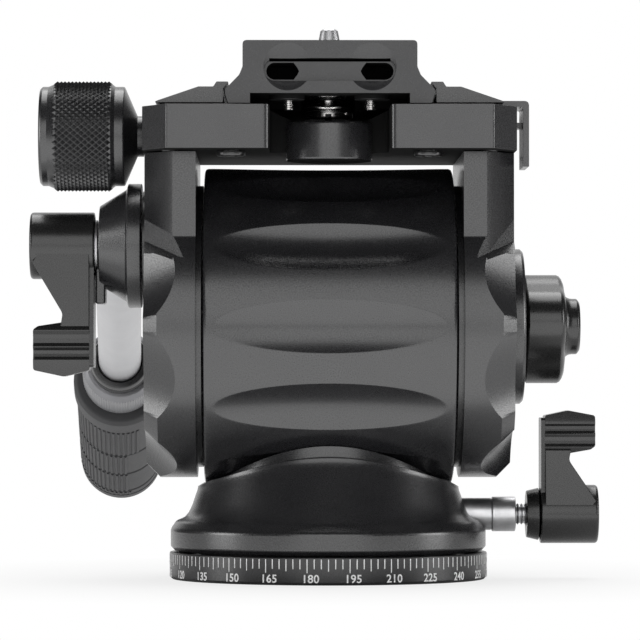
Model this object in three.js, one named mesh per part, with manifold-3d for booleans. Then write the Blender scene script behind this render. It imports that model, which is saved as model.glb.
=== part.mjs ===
// Fluid video head: a pan base, a fluted tilt drum, a rocking cage with a clamp for a quick plate,
// and a telescoping pan handle. Millimetres, +Z up, +Y away from the operator's side of the drum.
// The origin is the centre of the base's underside, on the pan axis.
import * as THREE from 'three';
import { mergeVertices } from 'three/addons/utils/BufferGeometryUtils.js';
import Module from 'manifold-3d';

const wasm = await Module();
wasm.setup();

// Driving dimensions

const seat = 0.3; // gap between pieces that touch
const run = 0.6; // gap between pieces that pass each other
const past = 2; // how far a cutter passes the face that it cuts
const weld = 1e-4; // vertices nearer than this are one
const fine = 40; // facets round a large turned piece
const medium = 20; // facets round a knob or disc
const small = 12; // facets round a screw or pin

const barrel = 29.5; // radius of the drum and of the housing's band under it
const ringProud = 0.2; // how far the graduated ring stands out past the band

const base = {
  radius: barrel + ringProud, height: 5, ringWall: 1.6, plate: 4.2, edge: 0.5,
  socketRadius: 4.8, socketDepth: 8.8, bushWall: 2.2, bushCap: 1.6,
};
const spindle = { wall: 2.7, flange: 4, flangeHeight: 1.5, nutWidth: 2.9, nutHeight: 2.1 };
const bearing = {
  width: 4.9, height: 1.8, sealHeight: 1.6,
  // where the damper starts, its width and the seal's, in shares of the room outside the bearing
  damperStartShare: 0.167, damperShare: 0.45, sealShare: 0.162,
};
const housing = {
  band: barrel, bandHeight: 5, flareHeight: 14.4, wall: 3.2, web: 6.2, boreClearance: 1.3,
  // radius as a share of the band's, height as a share of the flare's
  flareShares: [[1, 0], [0.956, 0.056], [0.905, 0.146], [0.861, 0.292], [0.83, 0.417], [0.817, 0.472],
    [0.719, 0.875], [0.651, 1]],
};
const panLock = {
  heightShare: 0.58, sleeveRadius: 3, sleeveStep: 0.24, sleeveLength: 10, sleeveEndLength: 4.5,
  sleeveDepth: 6.5, studRadius: 2, collarWidth: 2.6, collarRadius: 4.9, collarNose: 4.4,
  reachFromBand: 7.85, hubLength: 10.75, hubRadius: 5.45, armLength: 19.4, armThickness: 7.2,
};
const drum = {
  radius: barrel, halfLength: 23, wall: 4, edge: 0.6, lift: 0.6,
  flutes: 12, fluteLength: 42.4, fluteWidth: 9.8, fluteDepth: 1.6, fluteFacets: 24, fluteRings: 18,
  cap: 3, capInset: 0.3, boltRadius: 1.4, boltHead: 2.5, boltHeadHeight: 2.4, boltLength: 9,
};
const tilt = {
  shaftRadius: 5, bearingWidth: 2.6, washerRadius: 12, rotorGap: 3.5, rotorWidth: 3.4,
  statorWidth: 3, shaftDepth: 3.8,
};
const cheek = {
  sideGap: 1.4, width: 9.5, discInset: 1.3, armHalfWidth: 23, rim: 2.6,
  scallops: 8, scallopTurns: [-4.5, -3.5, -2.5, -1.5, -0.5, 0.5],
  scallopRadius: 9, scallopDepth: 4.3, armBevel: 5.3, armBevelBack: 6.5, armBevelRise: 13,
};
const deck = {
  lift: 2.3, height: 8, halfDepth: 28, overhang: 0.3, cornerX: 4.6, cornerY: 7,
  mouthHalf: 10.95, mouthDepth: 14,
  bossRadius: 7.9, bossDrop: 1.7, bossTop: 2.6, bossSetback: 6, bridgeShare: 0.8,
  channelTop: 11.3, channelFloor: 6.6, channelDepth: 2.3,
  screwRadius: 1.5, screwHead: 2.6, screwHeadHeight: 2.2, screwLength: 12, screwInset: 2.6,
  underScrewX: 18, underScrewY: 21, underHeadHeight: 0.9, underScrewLength: 5,
};
const plate = {
  halfWidth: 19, footHalf: 18.5, foot: 1.7, land: 0.8, neckHalf: 15.85, slope: 3.5, height: 11.4,
  edge: 1, halfLength: 26, windowHalf: 12, windowLow: 4.2, windowHeight: 4.4, windowDepth: 2.2,
  holeX: 7.5, holeRadius: 1.8, holeDepth: 3.5, scoopRadius: 6, scoopDepth: 1.5, scoopOver: 1.4,
  bossRadius: 3, bossDrop: 0.4, stopRadius: 1, stopDrop: 1, stopLength: 3.6, stopInset: 5.5,
  slotHalf: 3.4, slotFront: 8, slotBack: 14, slotRelief: 5.2, reliefHeight: 3.3,
};
const jaw = {
  halfLength: 23, foot: 32.4, crest: 23.9, step: 21.2, crestHeight: 2.9, lip: 3.8, lipEdge: 0.6,
  tongueX: 28, tongueWidth: 4, tongueHalf: 17, tongueDrop: 6.6, travel: 2.4,
  pinRadius: 1.5, pinY: 13.5, pinInner: 20, clearance: 0.4,
};
const knob = {
  drop: 4.2, radius: 10.3, rim: 9.3, length: 16, rimWidth: 1.6, innerRim: 2.2, cone: 2.3,
  neck: 3.8, neckLength: 1.1, spindleRadius: 2.5, spindleReach: 16, socket: 6,
};
const pin = {
  y: 14, radius: 2.25, nose: 1.7, rise: 3, shoulder: 0.6, depth: 4.6, spring: 4.4, springWall: 0.9,
};
const cameraScrew = { y: 2, head: 4.7, headHeight: 2.3, drop: 1.3, radius: 3.1 };
const tab = {
  thickness: 1.1, y: 10, halfWidth: 6, standOff: 1.4, reach: 8.1, drop: 10.7, rise: 0.3,
  hingeDrop: 2.9, hingeInset: 1.4, knuckle: 1.5, knuckleHalf: 2, pinRadius: 0.7, pinHalf: 5,
};
const lockKnob = {
  gap: 0.4, radius: 10.2, valley: 7.6, width: 6.9, edge: 0.8, capRadius: 5.2, capHeight: 3.1,
  lobes: 3, stud: 2.5, discRadius: 14.5, discWidth: 2.1,
};
const handle = {
  knobGap: 0.4, pitch: 12.5, splay: 1.95, offset: 5.5, rosette: 10.2, rosetteDepth: 0.9,
  discRadius: 10.8, discStart: 1, disc: 3.6, coneRadius: 7.4, cone: 4.3,
  tubeRadius: 4.45, tubeWall: 0.8, tubeEnd: 150, stubRadius: 4.8, spigot: 8,
  shoulder: 0.6, shoulderRadius: 4.8, screwRadius: 2.5, screwGrip: 5,
  leverLength: 12, leverRadius: 6.25, leverArm: 24.5, leverThickness: 8,
};
const grip = {
  collarStart: 96, collarLength: 17.5, collarRadius: 8, lipLength: 10, lipRadius: 10,
  coreWall: 1.6, length: 92, radius: 9.5, capLength: 9, grooveDepth: 0.7, grooveWidth: 1.2,
  grooveShares: [0.38, 0.61, 0.83],
};
// wing lever outline: along the hub from its inner face, out from the axis to the tip
const leverShares = [[0.07, 0], [0.9, 0], [0.9, 0.114], [0.483, 0.514], [0.5, 0.527], [0.942, 0.604],
  [0.942, 0.951], [0.475, 1], [0.07, 0.951]];

// Heights and reaches that follow from them

const level = {};
level.plateTop = base.plate;
level.flangeTop = level.plateTop + seat + spindle.flangeHeight;
level.webBottom = level.flangeTop + seat + bearing.height + seat;
level.webTop = level.webBottom + housing.web;
level.nutTop = level.webTop + seat + spindle.nutHeight;
level.bandBottom = base.height + seat;
level.bandTop = level.bandBottom + housing.bandHeight;
level.panLock = level.webBottom + housing.web * panLock.heightShare;
level.tilt = level.nutTop + drum.lift + drum.radius;
level.deckBottom = level.tilt + drum.radius + deck.lift;
level.deckTop = level.deckBottom + deck.height;
level.plateBottom = level.deckTop + seat;
level.plateHead = level.plateBottom + plate.height;
level.knob = level.deckTop - knob.drop;
level.handle = level.knob - knob.rim - handle.knobGap - handle.discRadius;

const across = {};
across.spindleInner = base.socketRadius + base.bushWall + seat;
across.spindleOuter = across.spindleInner + spindle.wall;
across.nutOuter = across.spindleOuter + seat + spindle.nutWidth;
across.bore = across.nutOuter + housing.boreClearance;
across.cheekInner = drum.halfLength + cheek.sideGap;
across.cheekOuter = across.cheekInner + cheek.width;
across.deckHalf = across.cheekOuter + deck.overhang;
across.drumInner = drum.radius - drum.wall;
across.rotor = across.drumInner - tilt.rotorGap;
across.shaftHalf = across.cheekInner + tilt.shaftDepth;
across.disc = across.cheekOuter + seat + lockKnob.discWidth;

// Solids: closing, turning, extruding, cutting

function closed(geometry) {
  const bare = geometry.clone();
  bare.deleteAttribute('normal');
  bare.deleteAttribute('uv');
  const merged = mergeVertices(bare, weld);
  const p = merged.attributes.position.array;
  const source = merged.index.array;
  const faces = [];
  let volume = 0;
  for (let i = 0; i < source.length; i += 3) {
    const [a, b, c] = [source[i], source[i + 1], source[i + 2]];
    if (a === b || b === c || a === c) continue;
    faces.push(a, b, c);
    const [u, v, w] = [a, b, c].map((k) => new THREE.Vector3().fromArray(p, 3 * k));
    volume += u.dot(v.cross(w));
  }
  if (volume < 0) faces.reverse();
  merged.setIndex(faces);
  return merged;
}

function toSolid(geometry) {
  const mesh = closed(geometry);
  return new wasm.Manifold(new wasm.Mesh({
    numProp: 3,
    vertProperties: new Float32Array(mesh.attributes.position.array),
    triVerts: new Uint32Array(mesh.index.array),
  }));
}

function toGeometry(solid) {
  const mesh = solid.getMesh();
  const geometry = new THREE.BufferGeometry();
  geometry.setAttribute('position', new THREE.BufferAttribute(new Float32Array(mesh.vertProperties), 3));
  geometry.setIndex([...mesh.triVerts]);
  return geometry;
}

function cut(body, ...tools) {
  return toGeometry(tools.reduce((solid, tool) => solid.subtract(toSolid(tool)), toSolid(body)));
}

function join(body, ...pieces) {
  return toGeometry(pieces.reduce((solid, piece) => solid.add(toSolid(piece)), toSolid(body)));
}

function common(body, other) {
  return toGeometry(toSolid(body).intersect(toSolid(other)));
}

const turnTo = {
  x: new THREE.Matrix4().makeRotationZ(-Math.PI / 2),
  y: new THREE.Matrix4(),
  z: new THREE.Matrix4().makeRotationX(Math.PI / 2),
};

// profile: [radius, place along the axis]
function turned(profile, facets, axis = 'z') {
  const points = profile.map(([r, t]) => new THREE.Vector2(r, t));
  const last = profile[profile.length - 1];
  if (profile[0][0] !== 0 || last[0] !== 0) points.push(points[0].clone());
  return closed(new THREE.LatheGeometry(points, facets).applyMatrix4(turnTo[axis]));
}

const rod = (r, t0, t1) => [[0, t0], [r, t0], [r, t1], [0, t1]];
const tube = (r0, r1, t0, t1) => [[r0, t0], [r1, t0], [r1, t1], [r0, t1]];

// an outline in the plane across an axis, swept from t0 to t1 along it
const planes = {
  x: [[0, 1, 0], [0, 0, 1], [1, 0, 0]],
  y: [[1, 0, 0], [0, 0, 1], [0, -1, 0]],
  z: [[1, 0, 0], [0, 1, 0], [0, 0, 1]],
};

function swept(outline, t0, t1, axis = 'z') {
  const drawn = outline instanceof THREE.Shape;
  const shape = drawn ? outline : new THREE.Shape(outline.map(([a, b]) => new THREE.Vector2(a, b)));
  const extent = { depth: t1 - t0, bevelEnabled: false, curveSegments: small / 2 };
  const geometry = new THREE.ExtrudeGeometry(shape, extent);
  geometry.translate(0, 0, axis === 'y' ? -t1 : t0);
  const [a, b, c] = planes[axis].map((v) => new THREE.Vector3(...v));
  return closed(geometry.applyMatrix4(new THREE.Matrix4().makeBasis(a, b, c)));
}

const block = (x0, x1, y0, y1, z0, z1) => swept([[x0, y0], [x1, y0], [x1, y1], [x0, y1]], z0, z1);

const shift = (geometry, x, y, z) => geometry.clone().translate(x, y, z);

// round bars from one place to another along an axis
function alongX(radius, x0, x1, y, z, facets = small) {
  return shift(turned(rod(radius, x0, x1), facets, 'x'), 0, y, z);
}

function alongY(radius, y0, y1, x, z, facets = small) {
  return shift(turned(rod(radius, y0, y1), facets, 'y'), x, 0, z);
}

function alongZ(radius, z0, z1, x, y, facets = small) {
  return shift(turned(rod(radius, z0, z1), facets), x, y, 0);
}

function mirrorX(geometry) {
  return closed(geometry.clone().scale(-1, 1, 1));
}

// Finishes

function finish(color, roughness, metalness) {
  return new THREE.MeshStandardMaterial({ color, roughness, metalness });
}

const anodised = () => finish(0x2a2b2d, 0.5, 0.6);
const darkMetal = () => finish(0x18191b, 0.45, 0.6);
const steel = () => finish(0xb9babc, 0.3, 1);
const silver = () => finish(0xd6d7d9, 0.35, 0.9);
const rubber = () => finish(0x3a3b3e, 0.9, 0);
const bronze = () => finish(0x9a7a45, 0.45, 0.8);
const nylon = () => finish(0xd8d4c6, 0.6, 0);

const head = new THREE.Group();

function place(name, geometry, material, parent = head) {
  const mesh = new THREE.Mesh(geometry, material);
  mesh.name = name;
  parent.add(mesh);
}

// Base

function basePlate() {
  const rim = base.radius - base.ringWall - seat;
  return turned([[across.spindleInner, 0], [rim - base.edge, 0], [rim, base.edge], [rim, level.plateTop],
    [across.spindleInner, level.plateTop]], fine);
}

function graduatedRing() {
  const inner = base.radius - base.ringWall;
  return turned([[inner, 0], [base.radius - base.edge, 0], [base.radius, base.edge],
    [base.radius, base.height], [inner, base.height]], fine);
}

function threadBush() {
  const outer = base.socketRadius + base.bushWall;
  const top = base.socketDepth + base.bushCap;
  return turned([[0, base.socketDepth], [base.socketRadius, base.socketDepth], [base.socketRadius, 0],
    [outer, 0], [outer, top], [0, top]], medium);
}

function panSpindle() {
  const bottom = level.plateTop + seat;
  const flange = across.spindleOuter + spindle.flange;
  return turned([[across.spindleInner, bottom], [flange, bottom], [flange, level.flangeTop],
    [across.spindleOuter, level.flangeTop], [across.spindleOuter, level.nutTop],
    [across.spindleInner, level.nutTop]], medium);
}

function panNut() {
  const bottom = level.webTop + seat;
  return turned(tube(across.spindleOuter + seat, across.nutOuter, bottom, level.nutTop), medium);
}

const bearingEdge = across.spindleOuter + seat + bearing.width;
const recess = housing.band - housing.wall;
const greaseRoom = recess - bearingEdge;
const damperInner = bearingEdge + greaseRoom * bearing.damperStartShare;
const damperOuter = damperInner + greaseRoom * bearing.damperShare;

function panBearing() {
  const bottom = level.flangeTop + seat;
  return turned(tube(across.spindleOuter + seat, bearingEdge, bottom, bottom + bearing.height), medium);
}

function panDamperRing() {
  const top = level.webBottom - seat;
  return turned(tube(damperInner, damperOuter, level.plateTop + seat, top), medium);
}

function panSeal() {
  const inner = damperOuter + seat;
  const outer = inner + greaseRoom * bearing.sealShare;
  const bottom = level.plateTop + seat;
  return turned(tube(inner, outer, bottom, bottom + bearing.sealHeight), medium);
}

// Pan body

const [[mouthShare]] = housing.flareShares.slice(-1);
const boltY = (across.bore + housing.band * mouthShare) / 2;
const boltTop = level.tilt - Math.sqrt(drum.radius ** 2 - boltY ** 2) + drum.wall / 2;

function drumBolt(side) {
  const hex = turned([[0, boltTop - drum.boltLength], [drum.boltRadius, boltTop - drum.boltLength],
    [drum.boltRadius, boltTop], [drum.boltHead, boltTop], [drum.boltHead, boltTop + drum.boltHeadHeight],
    [0, boltTop + drum.boltHeadHeight]], small);
  return shift(hex, 0, side * boltY, 0);
}

function boltHole(side) {
  const shank = drum.boltRadius + seat;
  const counter = drum.boltHead + seat;
  const bottom = boltTop - drum.boltLength - seat;
  const top = boltTop + drum.radius / 2;
  return shift(turned([[0, bottom], [shank, bottom], [shank, boltTop - seat], [counter, boltTop - seat],
    [counter, top], [0, top]], small), 0, side * boltY, 0);
}

function panHousing() {
  const height = housing.flareHeight;
  const flare = housing.flareShares.map(([r, h]) => [housing.band * r, level.bandTop + height * h]);
  const top = level.bandTop + height;
  const bore = across.spindleOuter + seat;
  const bell = turned([[across.bore, top], [across.bore, level.webTop], [bore, level.webTop],
    [bore, level.webBottom], [recess, level.webBottom], [recess, level.bandBottom],
    [housing.band, level.bandBottom], ...flare], fine);
  const end = housing.band + past;
  const saddle = alongX(drum.radius + seat, -end, end, 0, level.tilt, drum.flutes * 6);
  const studHole = alongX(panLock.studRadius + seat, 0, end, 0, level.panLock);
  const sleeveHole = alongX(panLock.sleeveRadius + seat, sleeveStart - seat, end, 0, level.panLock);
  return cut(bell, saddle, studHole, sleeveHole, boltHole(-1), boltHole(1));
}

const sleeveEnd = housing.band + panLock.sleeveLength - panLock.sleeveEndLength;
const sleeveStart = housing.band - housing.wall - panLock.sleeveDepth;

function panLockSleeve() {
  const bore = panLock.studRadius + seat;
  const step = panLock.sleeveRadius + panLock.sleeveStep;
  const stepAt = sleeveEnd - panLock.sleeveEndLength;
  const radius = panLock.sleeveRadius;
  return shift(turned([[bore, sleeveStart], [radius, sleeveStart], [radius, stepAt], [step, stepAt],
    [step, sleeveEnd], [bore, sleeveEnd]], small * 2, 'x'), 0, 0, level.panLock);
}

// a long hollow scooped by an ellipsoid whose poles lie along the drum
function flute(index) {
  const bed = new THREE.SphereGeometry(1, drum.fluteFacets, drum.fluteRings);
  bed.rotateZ(Math.PI / 2);
  const sink = drum.radius - drum.fluteDepth;
  const depth = drum.fluteDepth * 2;
  const spread = 1 / Math.sqrt(1 - ((depth - drum.fluteDepth) / depth) ** 2);
  const lengthwise = drum.fluteLength / 2 * spread;
  const half = drum.fluteWidth / 2;
  const edgeDrop = drum.radius - Math.sqrt(drum.radius ** 2 - half ** 2);
  const crosswise = half / Math.sqrt(1 - ((depth - drum.fluteDepth - edgeDrop) / depth) ** 2);
  bed.scale(lengthwise, crosswise, depth);
  bed.translate(0, 0, sink + depth);
  bed.rotateX(Math.PI / 2 + index * 2 * Math.PI / drum.flutes);
  return bed.translate(0, 0, level.tilt);
}

function drumShell() {
  const r = drum.radius;
  const half = drum.halfLength;
  const facets = drum.flutes * 6;
  const shell = turned([[across.drumInner, -half], [r - drum.edge, -half], [r, drum.edge - half],
    [r, half - drum.edge], [r - drum.edge, half], [across.drumInner, half]], facets, 'x');
  const flutes = Array.from({ length: drum.flutes }, (_, i) => flute(i));
  return cut(shift(shell, 0, 0, level.tilt), ...flutes, boltHole(-1), boltHole(1));
}

const capOuter = drum.halfLength - drum.capInset;
const bearingOuter = tilt.shaftRadius + seat + tilt.bearingWidth;

function drumCap() {
  return shift(turned(tube(bearingOuter + seat, across.drumInner - seat, capOuter - drum.cap, capOuter),
    medium, 'x'), 0, 0, level.tilt);
}

function tiltBearing() {
  const bush = tube(tilt.shaftRadius + seat, bearingOuter, capOuter - drum.cap, capOuter);
  return shift(turned(bush, medium, 'x'), 0, 0, level.tilt);
}

function tiltStator() {
  const outer = across.drumInner - seat;
  const end = -drum.boltHead - run;
  return shift(turned(tube(tilt.shaftRadius + run, outer, end - tilt.statorWidth, end), medium, 'x'),
    0, 0, level.tilt);
}

// Wing levers

function wingLever(length, radius, arm, thickness) {
  const hub = turned([[0, 0], [radius - base.edge, 0], [radius, base.edge], [radius, length - base.edge],
    [radius - base.edge, length], [0, length]], medium, 'x');
  const outline = leverShares.map(([u, v]) => [u * length, v * arm]);
  const wing = swept(outline, -thickness / 2, thickness / 2, 'y');
  return join(hub, wing);
}

const panLeverStart = housing.band + panLock.reachFromBand + panLock.collarWidth - seat;

function panLockLever() {
  const long = panLock.hubLength;
  const lever = wingLever(long, panLock.hubRadius, panLock.armLength, panLock.armThickness);
  const hole = turned(rod(panLock.studRadius + seat, -past, long / 2), small, 'x');
  return shift(cut(lever, hole), panLeverStart, 0, level.panLock);
}

function panLockCollar() {
  const end = panLeverStart - seat;
  const start = end - panLock.collarWidth + seat;
  const bore = panLock.studRadius + seat;
  const cone = [[bore, start], [panLock.collarNose, start], [panLock.collarRadius, end], [bore, end]];
  return shift(turned(cone, medium, 'x'), 0, 0, level.panLock);
}

function panLockStud() {
  const end = panLeverStart + panLock.hubLength / 2 - seat;
  return alongX(panLock.studRadius, across.spindleOuter + run, end, 0, level.panLock);
}

// Tilt cage

function cheekOutline() {
  const disc = drum.radius - cheek.discInset;
  const half = cheek.armHalfWidth;
  const lift = Math.asin(Math.sqrt(1 - (half / disc) ** 2));
  const shape = new THREE.Shape();
  shape.moveTo(half, level.deckBottom - seat);
  shape.lineTo(-half, level.deckBottom - seat);
  const steps = fine * 2 / 3;
  for (let i = 0; i <= steps; i += 1) {
    const a = Math.PI - lift + (Math.PI + 2 * lift) * i / steps;
    shape.lineTo(disc * Math.cos(a), level.tilt + disc * Math.sin(a));
  }
  return shape;
}

// the rim's chamfer: the disc meets a cone that opens inwards
function rimCone() {
  const disc = drum.radius - cheek.discInset;
  const outer = across.cheekOuter;
  const tall = level.deckBottom + level.tilt;
  return [[0, across.cheekInner - past], [tall, across.cheekInner - past], [tall, outer - cheek.rim],
    [disc, outer - cheek.rim], [disc - cheek.rim, outer], [0, outer]];
}

// turn: how many scallop pitches round from the back, so that the arm keeps its whole width
function scallop(turn) {
  const disc = drum.radius - cheek.discInset;
  const sink = cheek.scallopRadius - cheek.scallopDepth;
  const bar = new THREE.CylinderGeometry(cheek.scallopRadius, cheek.scallopRadius, disc, medium);
  // the bar lies across the rim at 45 degrees to the cheek's face
  bar.rotateZ(Math.PI / 4);
  const out = sink * Math.SQRT1_2;
  bar.translate(across.cheekOuter - cheek.rim / 2 + out, disc - cheek.rim / 2 + out, 0);
  bar.rotateX(turn * 2 * Math.PI / cheek.scallops);
  return bar.translate(0, 0, level.tilt);
}

// the tall bevel between the arm's front or back edge and its outer face
function armBevel(side) {
  const outer = across.cheekOuter;
  const y = side * cheek.armHalfWidth;
  const low = level.tilt + cheek.armBevelRise;
  const reach = side * cheek.armBevelBack;
  const clear = side * past;
  const inner = outer - cheek.armBevel;
  const slope = cheek.armBevelBack / cheek.armBevel;
  return swept([[inner - past, y + clear * slope], [inner, y], [outer, y - reach],
    [outer + past, y - reach], [outer + past, y + clear * slope]], low, level.deckBottom + past);
}

const deckScrewX = (across.cheekInner + across.cheekOuter) / 2;
const deckScrewY = cheek.armHalfWidth - deck.screwInset;
const deckScrewSeat = level.deckTop - deck.screwHeadHeight;

function deckScrew(sideX, sideY) {
  const low = deckScrewSeat - deck.screwLength;
  const screw = turned([[0, low], [deck.screwRadius, low], [deck.screwRadius, deckScrewSeat],
    [deck.screwHead, deckScrewSeat], [deck.screwHead, level.deckTop], [0, level.deckTop]], small);
  return shift(screw, sideX * deckScrewX, sideY * deckScrewY, 0);
}

function deckScrewHole(sideX, sideY) {
  const low = deckScrewSeat - deck.screwLength - seat;
  const shank = deck.screwRadius + seat;
  const counter = deck.screwHead + seat;
  const shelf = deckScrewSeat - seat;
  const top = level.deckTop + past;
  return shift(turned([[0, low], [shank, low], [shank, shelf], [counter, shelf], [counter, top], [0, top]],
    small), sideX * deckScrewX, sideY * deckScrewY, 0);
}

function cheekBlank() {
  const blank = swept(cheekOutline(), across.cheekInner, across.cheekOuter, 'x');
  const cone = shift(turned(rimCone(), fine, 'x'), 0, 0, level.tilt);
  const chamfered = common(blank, join(cone, armKeeper()));
  const scallops = cheek.scallopTurns.map((turn) => scallop(turn));
  const shaftHole = alongX(tilt.shaftRadius + seat, across.cheekInner - past, across.shaftHalf + seat,
    0, level.tilt, medium);
  const screwHoles = [deckScrewHole(1, -1), deckScrewHole(1, 1)];
  return cut(chamfered, ...scallops, armBevel(-1), armBevel(1), shaftHole, ...screwHoles);
}

// the part of the cheek above the disc, which the rim's cone leaves whole
function armKeeper() {
  const low = level.tilt + cheek.scallopRadius;
  const half = cheek.armHalfWidth;
  return block(across.cheekInner, across.cheekOuter, -half, half, low, level.deckBottom);
}

function cheekRight() {
  const end = across.cheekOuter + past;
  return cut(cheekBlank(), alongX(lockKnob.stud + seat, across.cheekInner, end, 0, level.tilt));
}

const rosetteFloor = across.cheekOuter - handle.rosetteDepth;

function cheekLeft() {
  const end = across.cheekOuter + past;
  const screwEnd = across.cheekOuter - handle.screwGrip - seat;
  const pocket = alongX(handle.rosette + seat, rosetteFloor - seat, end, 0, level.handle, medium);
  const screwHole = alongX(handle.screwRadius + seat, screwEnd, end, 0, level.handle);
  return mirrorX(cut(cheekBlank(), pocket, screwHole));
}

function tiltShaft() {
  return alongX(tilt.shaftRadius, -across.shaftHalf, across.shaftHalf, 0, level.tilt, medium);
}

function tiltRotor() {
  const disc = tube(tilt.shaftRadius + seat, across.rotor, seat, seat + tilt.rotorWidth);
  return shift(turned(disc, medium, 'x'), 0, 0, level.tilt);
}

function tiltWasher() {
  const end = across.cheekInner - seat;
  const ring = tube(tilt.shaftRadius + seat, tilt.washerRadius, drum.halfLength, end);
  return shift(turned(ring, medium, 'x'), 0, 0, level.tilt);
}

function handleRosette() {
  const outer = across.cheekOuter + handle.discStart - seat;
  const ring = turned(tube(handle.screwRadius + seat, handle.rosette, rosetteFloor, outer), medium, 'x');
  return mirrorX(shift(ring, 0, 0, level.handle));
}

function sideDisc() {
  const start = across.cheekOuter + seat;
  const end = across.disc;
  const r = lockKnob.discRadius;
  const bore = lockKnob.stud + seat;
  return shift(turned([[bore, start], [r, start], [r, end - base.edge], [r - base.edge, end], [bore, end]],
    medium, 'x'), 0, 0, level.tilt);
}

function deckOutline() {
  const x = across.deckHalf;
  const y = deck.halfDepth;
  return [[x - deck.cornerX, -y], [x, deck.cornerY - y], [x, y - deck.cornerY], [x - deck.cornerX, y],
    [deck.cornerX - x, y], [-x, y - deck.cornerY], [-x, deck.cornerY - y], [deck.cornerX - x, -y]];
}

const bossY = deck.bossSetback + deck.bossRadius - deck.halfDepth;
const jawInner = plate.halfWidth + jaw.clearance;
const tongueOuter = jaw.tongueX + jaw.tongueWidth / 2;
const tongueInner = jaw.tongueX - jaw.tongueWidth / 2;

function underScrew(side) {
  const top = level.deckBottom + deck.underScrewLength;
  const under = level.deckBottom - seat;
  const low = under - deck.underHeadHeight;
  const screw = turned([[0, low], [deck.screwHead, low], [deck.screwHead, under], [deck.screwRadius, under],
    [deck.screwRadius, top], [0, top]], small);
  return shift(screw, side * deck.underScrewX, -deck.underScrewY, 0);
}

function underScrewHole(side) {
  const top = level.deckBottom + deck.underScrewLength + seat;
  const x = side * deck.underScrewX;
  return alongZ(deck.screwRadius + seat, level.deckBottom - past, top, x, -deck.underScrewY);
}

function tonguePocket() {
  const low = level.plateBottom - jaw.tongueDrop - seat * 2;
  return block(-tongueOuter - jaw.travel - seat * 2, -tongueInner + seat * 2, -jaw.tongueHalf - seat,
    jaw.tongueHalf + seat, low, level.deckTop + past);
}

const hingeX = across.deckHalf - tab.hingeInset;
const hingeZ = level.deckTop - tab.hingeDrop;

function tabPocket() {
  const room = tab.knuckle + seat * 2;
  const half = tab.knuckleHalf + seat * 2;
  return block(hingeX - room, across.deckHalf + past, -tab.y - half, -tab.y + half,
    hingeZ - room, hingeZ + room);
}

function deckBody() {
  const slab = swept(deckOutline(), level.deckBottom, level.deckTop);
  const mouthEnd = deck.mouthDepth - deck.halfDepth;
  const mouth = block(-deck.mouthHalf, deck.mouthHalf, -deck.halfDepth - past, mouthEnd,
    level.deckBottom - past, level.deckTop + past);
  const bossTop = level.deckTop - deck.bossTop;
  const boss = alongZ(deck.bossRadius, level.deckBottom - deck.bossDrop, bossTop, 0, bossY, medium);
  const bridgeHalf = deck.bossRadius * deck.bridgeShare;
  const bridge = block(-bridgeHalf, bridgeHalf, bossY, mouthEnd + past,
    level.deckBottom + seat, bossTop - seat);
  return cut(join(cut(slab, mouth, deckChannel()), boss, bridge), ...deckHoles());
}

// the dovetail channel that the camera screw's head passes along
function deckChannel() {
  const floor = level.deckTop - deck.channelDepth;
  const high = level.deckTop + past;
  const right = [[deck.channelFloor, floor], [deck.channelTop, level.deckTop], [deck.channelTop, high]];
  const left = right.map(([x, z]) => [-x, z]).reverse();
  return swept([...right, ...left], -deck.halfDepth - past, deck.halfDepth + past, 'y');
}

function deckHoles() {
  const edge = -across.deckHalf;
  const holes = [underScrewHole(-1), underScrewHole(1), tonguePocket(), tabPocket()];
  [-1, 1].forEach((side) => {
    holes.push(deckScrewHole(side, -1), deckScrewHole(side, 1));
    holes.push(alongX(jaw.pinRadius + seat, edge - past, seat - jaw.pinInner, side * jaw.pinY, level.knob));
  });
  const spindleEnd = edge + knob.spindleReach + seat;
  holes.push(alongX(knob.spindleRadius + seat, edge - past, spindleEnd, 0, level.knob));
  const pinHalf = tab.pinHalf + seat;
  holes.push(alongY(tab.pinRadius + seat, -tab.y - pinHalf, -tab.y + pinHalf, hingeX, hingeZ));
  return holes;
}

// right jaw in the plane across the plate; the left one is its mirror
function jawOutline() {
  const z = level.plateBottom;
  const steep = (plate.halfWidth - plate.neckHalf) / plate.slope;
  const bend = plate.foot + plate.land;
  const lipX = jawInner - (jaw.lip - bend) * steep;
  return [[jawInner, z], [jaw.foot, z], [jaw.crest, z + jaw.crestHeight], [jaw.step, z + jaw.crestHeight],
    [jaw.step - jaw.lipEdge, z + jaw.lip], [lipX, z + jaw.lip], [jawInner, z + bend]];
}

function fixedJaw() {
  const bar = swept(jawOutline(), -jaw.halfLength, jaw.halfLength, 'y');
  const notch = block(across.deckHalf + tab.standOff - tab.reach - seat * 2, across.deckHalf + past,
    -tab.y - tab.halfWidth - seat, -tab.y + tab.halfWidth + seat, level.deckTop, level.plateHead);
  return cut(bar, notch);
}

function movingJaw() {
  const bar = swept(jawOutline(), -jaw.halfLength, jaw.halfLength, 'y');
  const tongue = block(tongueInner, tongueOuter, -jaw.tongueHalf, jaw.tongueHalf,
    level.plateBottom - jaw.tongueDrop, level.plateBottom + jaw.crestHeight / 3);
  const reach = [tongueInner - past, tongueOuter + past];
  const pinHoles = [-1, 1].map((s) => alongX(jaw.pinRadius + seat, ...reach, s * jaw.pinY, level.knob));
  const spindleHole = alongX(knob.spindleRadius + seat, ...reach, 0, level.knob);
  return mirrorX(cut(join(bar, tongue), ...pinHoles, spindleHole));
}

function guidePin(side) {
  return alongX(jaw.pinRadius, -across.deckHalf, -jaw.pinInner, side * jaw.pinY, level.knob);
}

// Clamp knob

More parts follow.
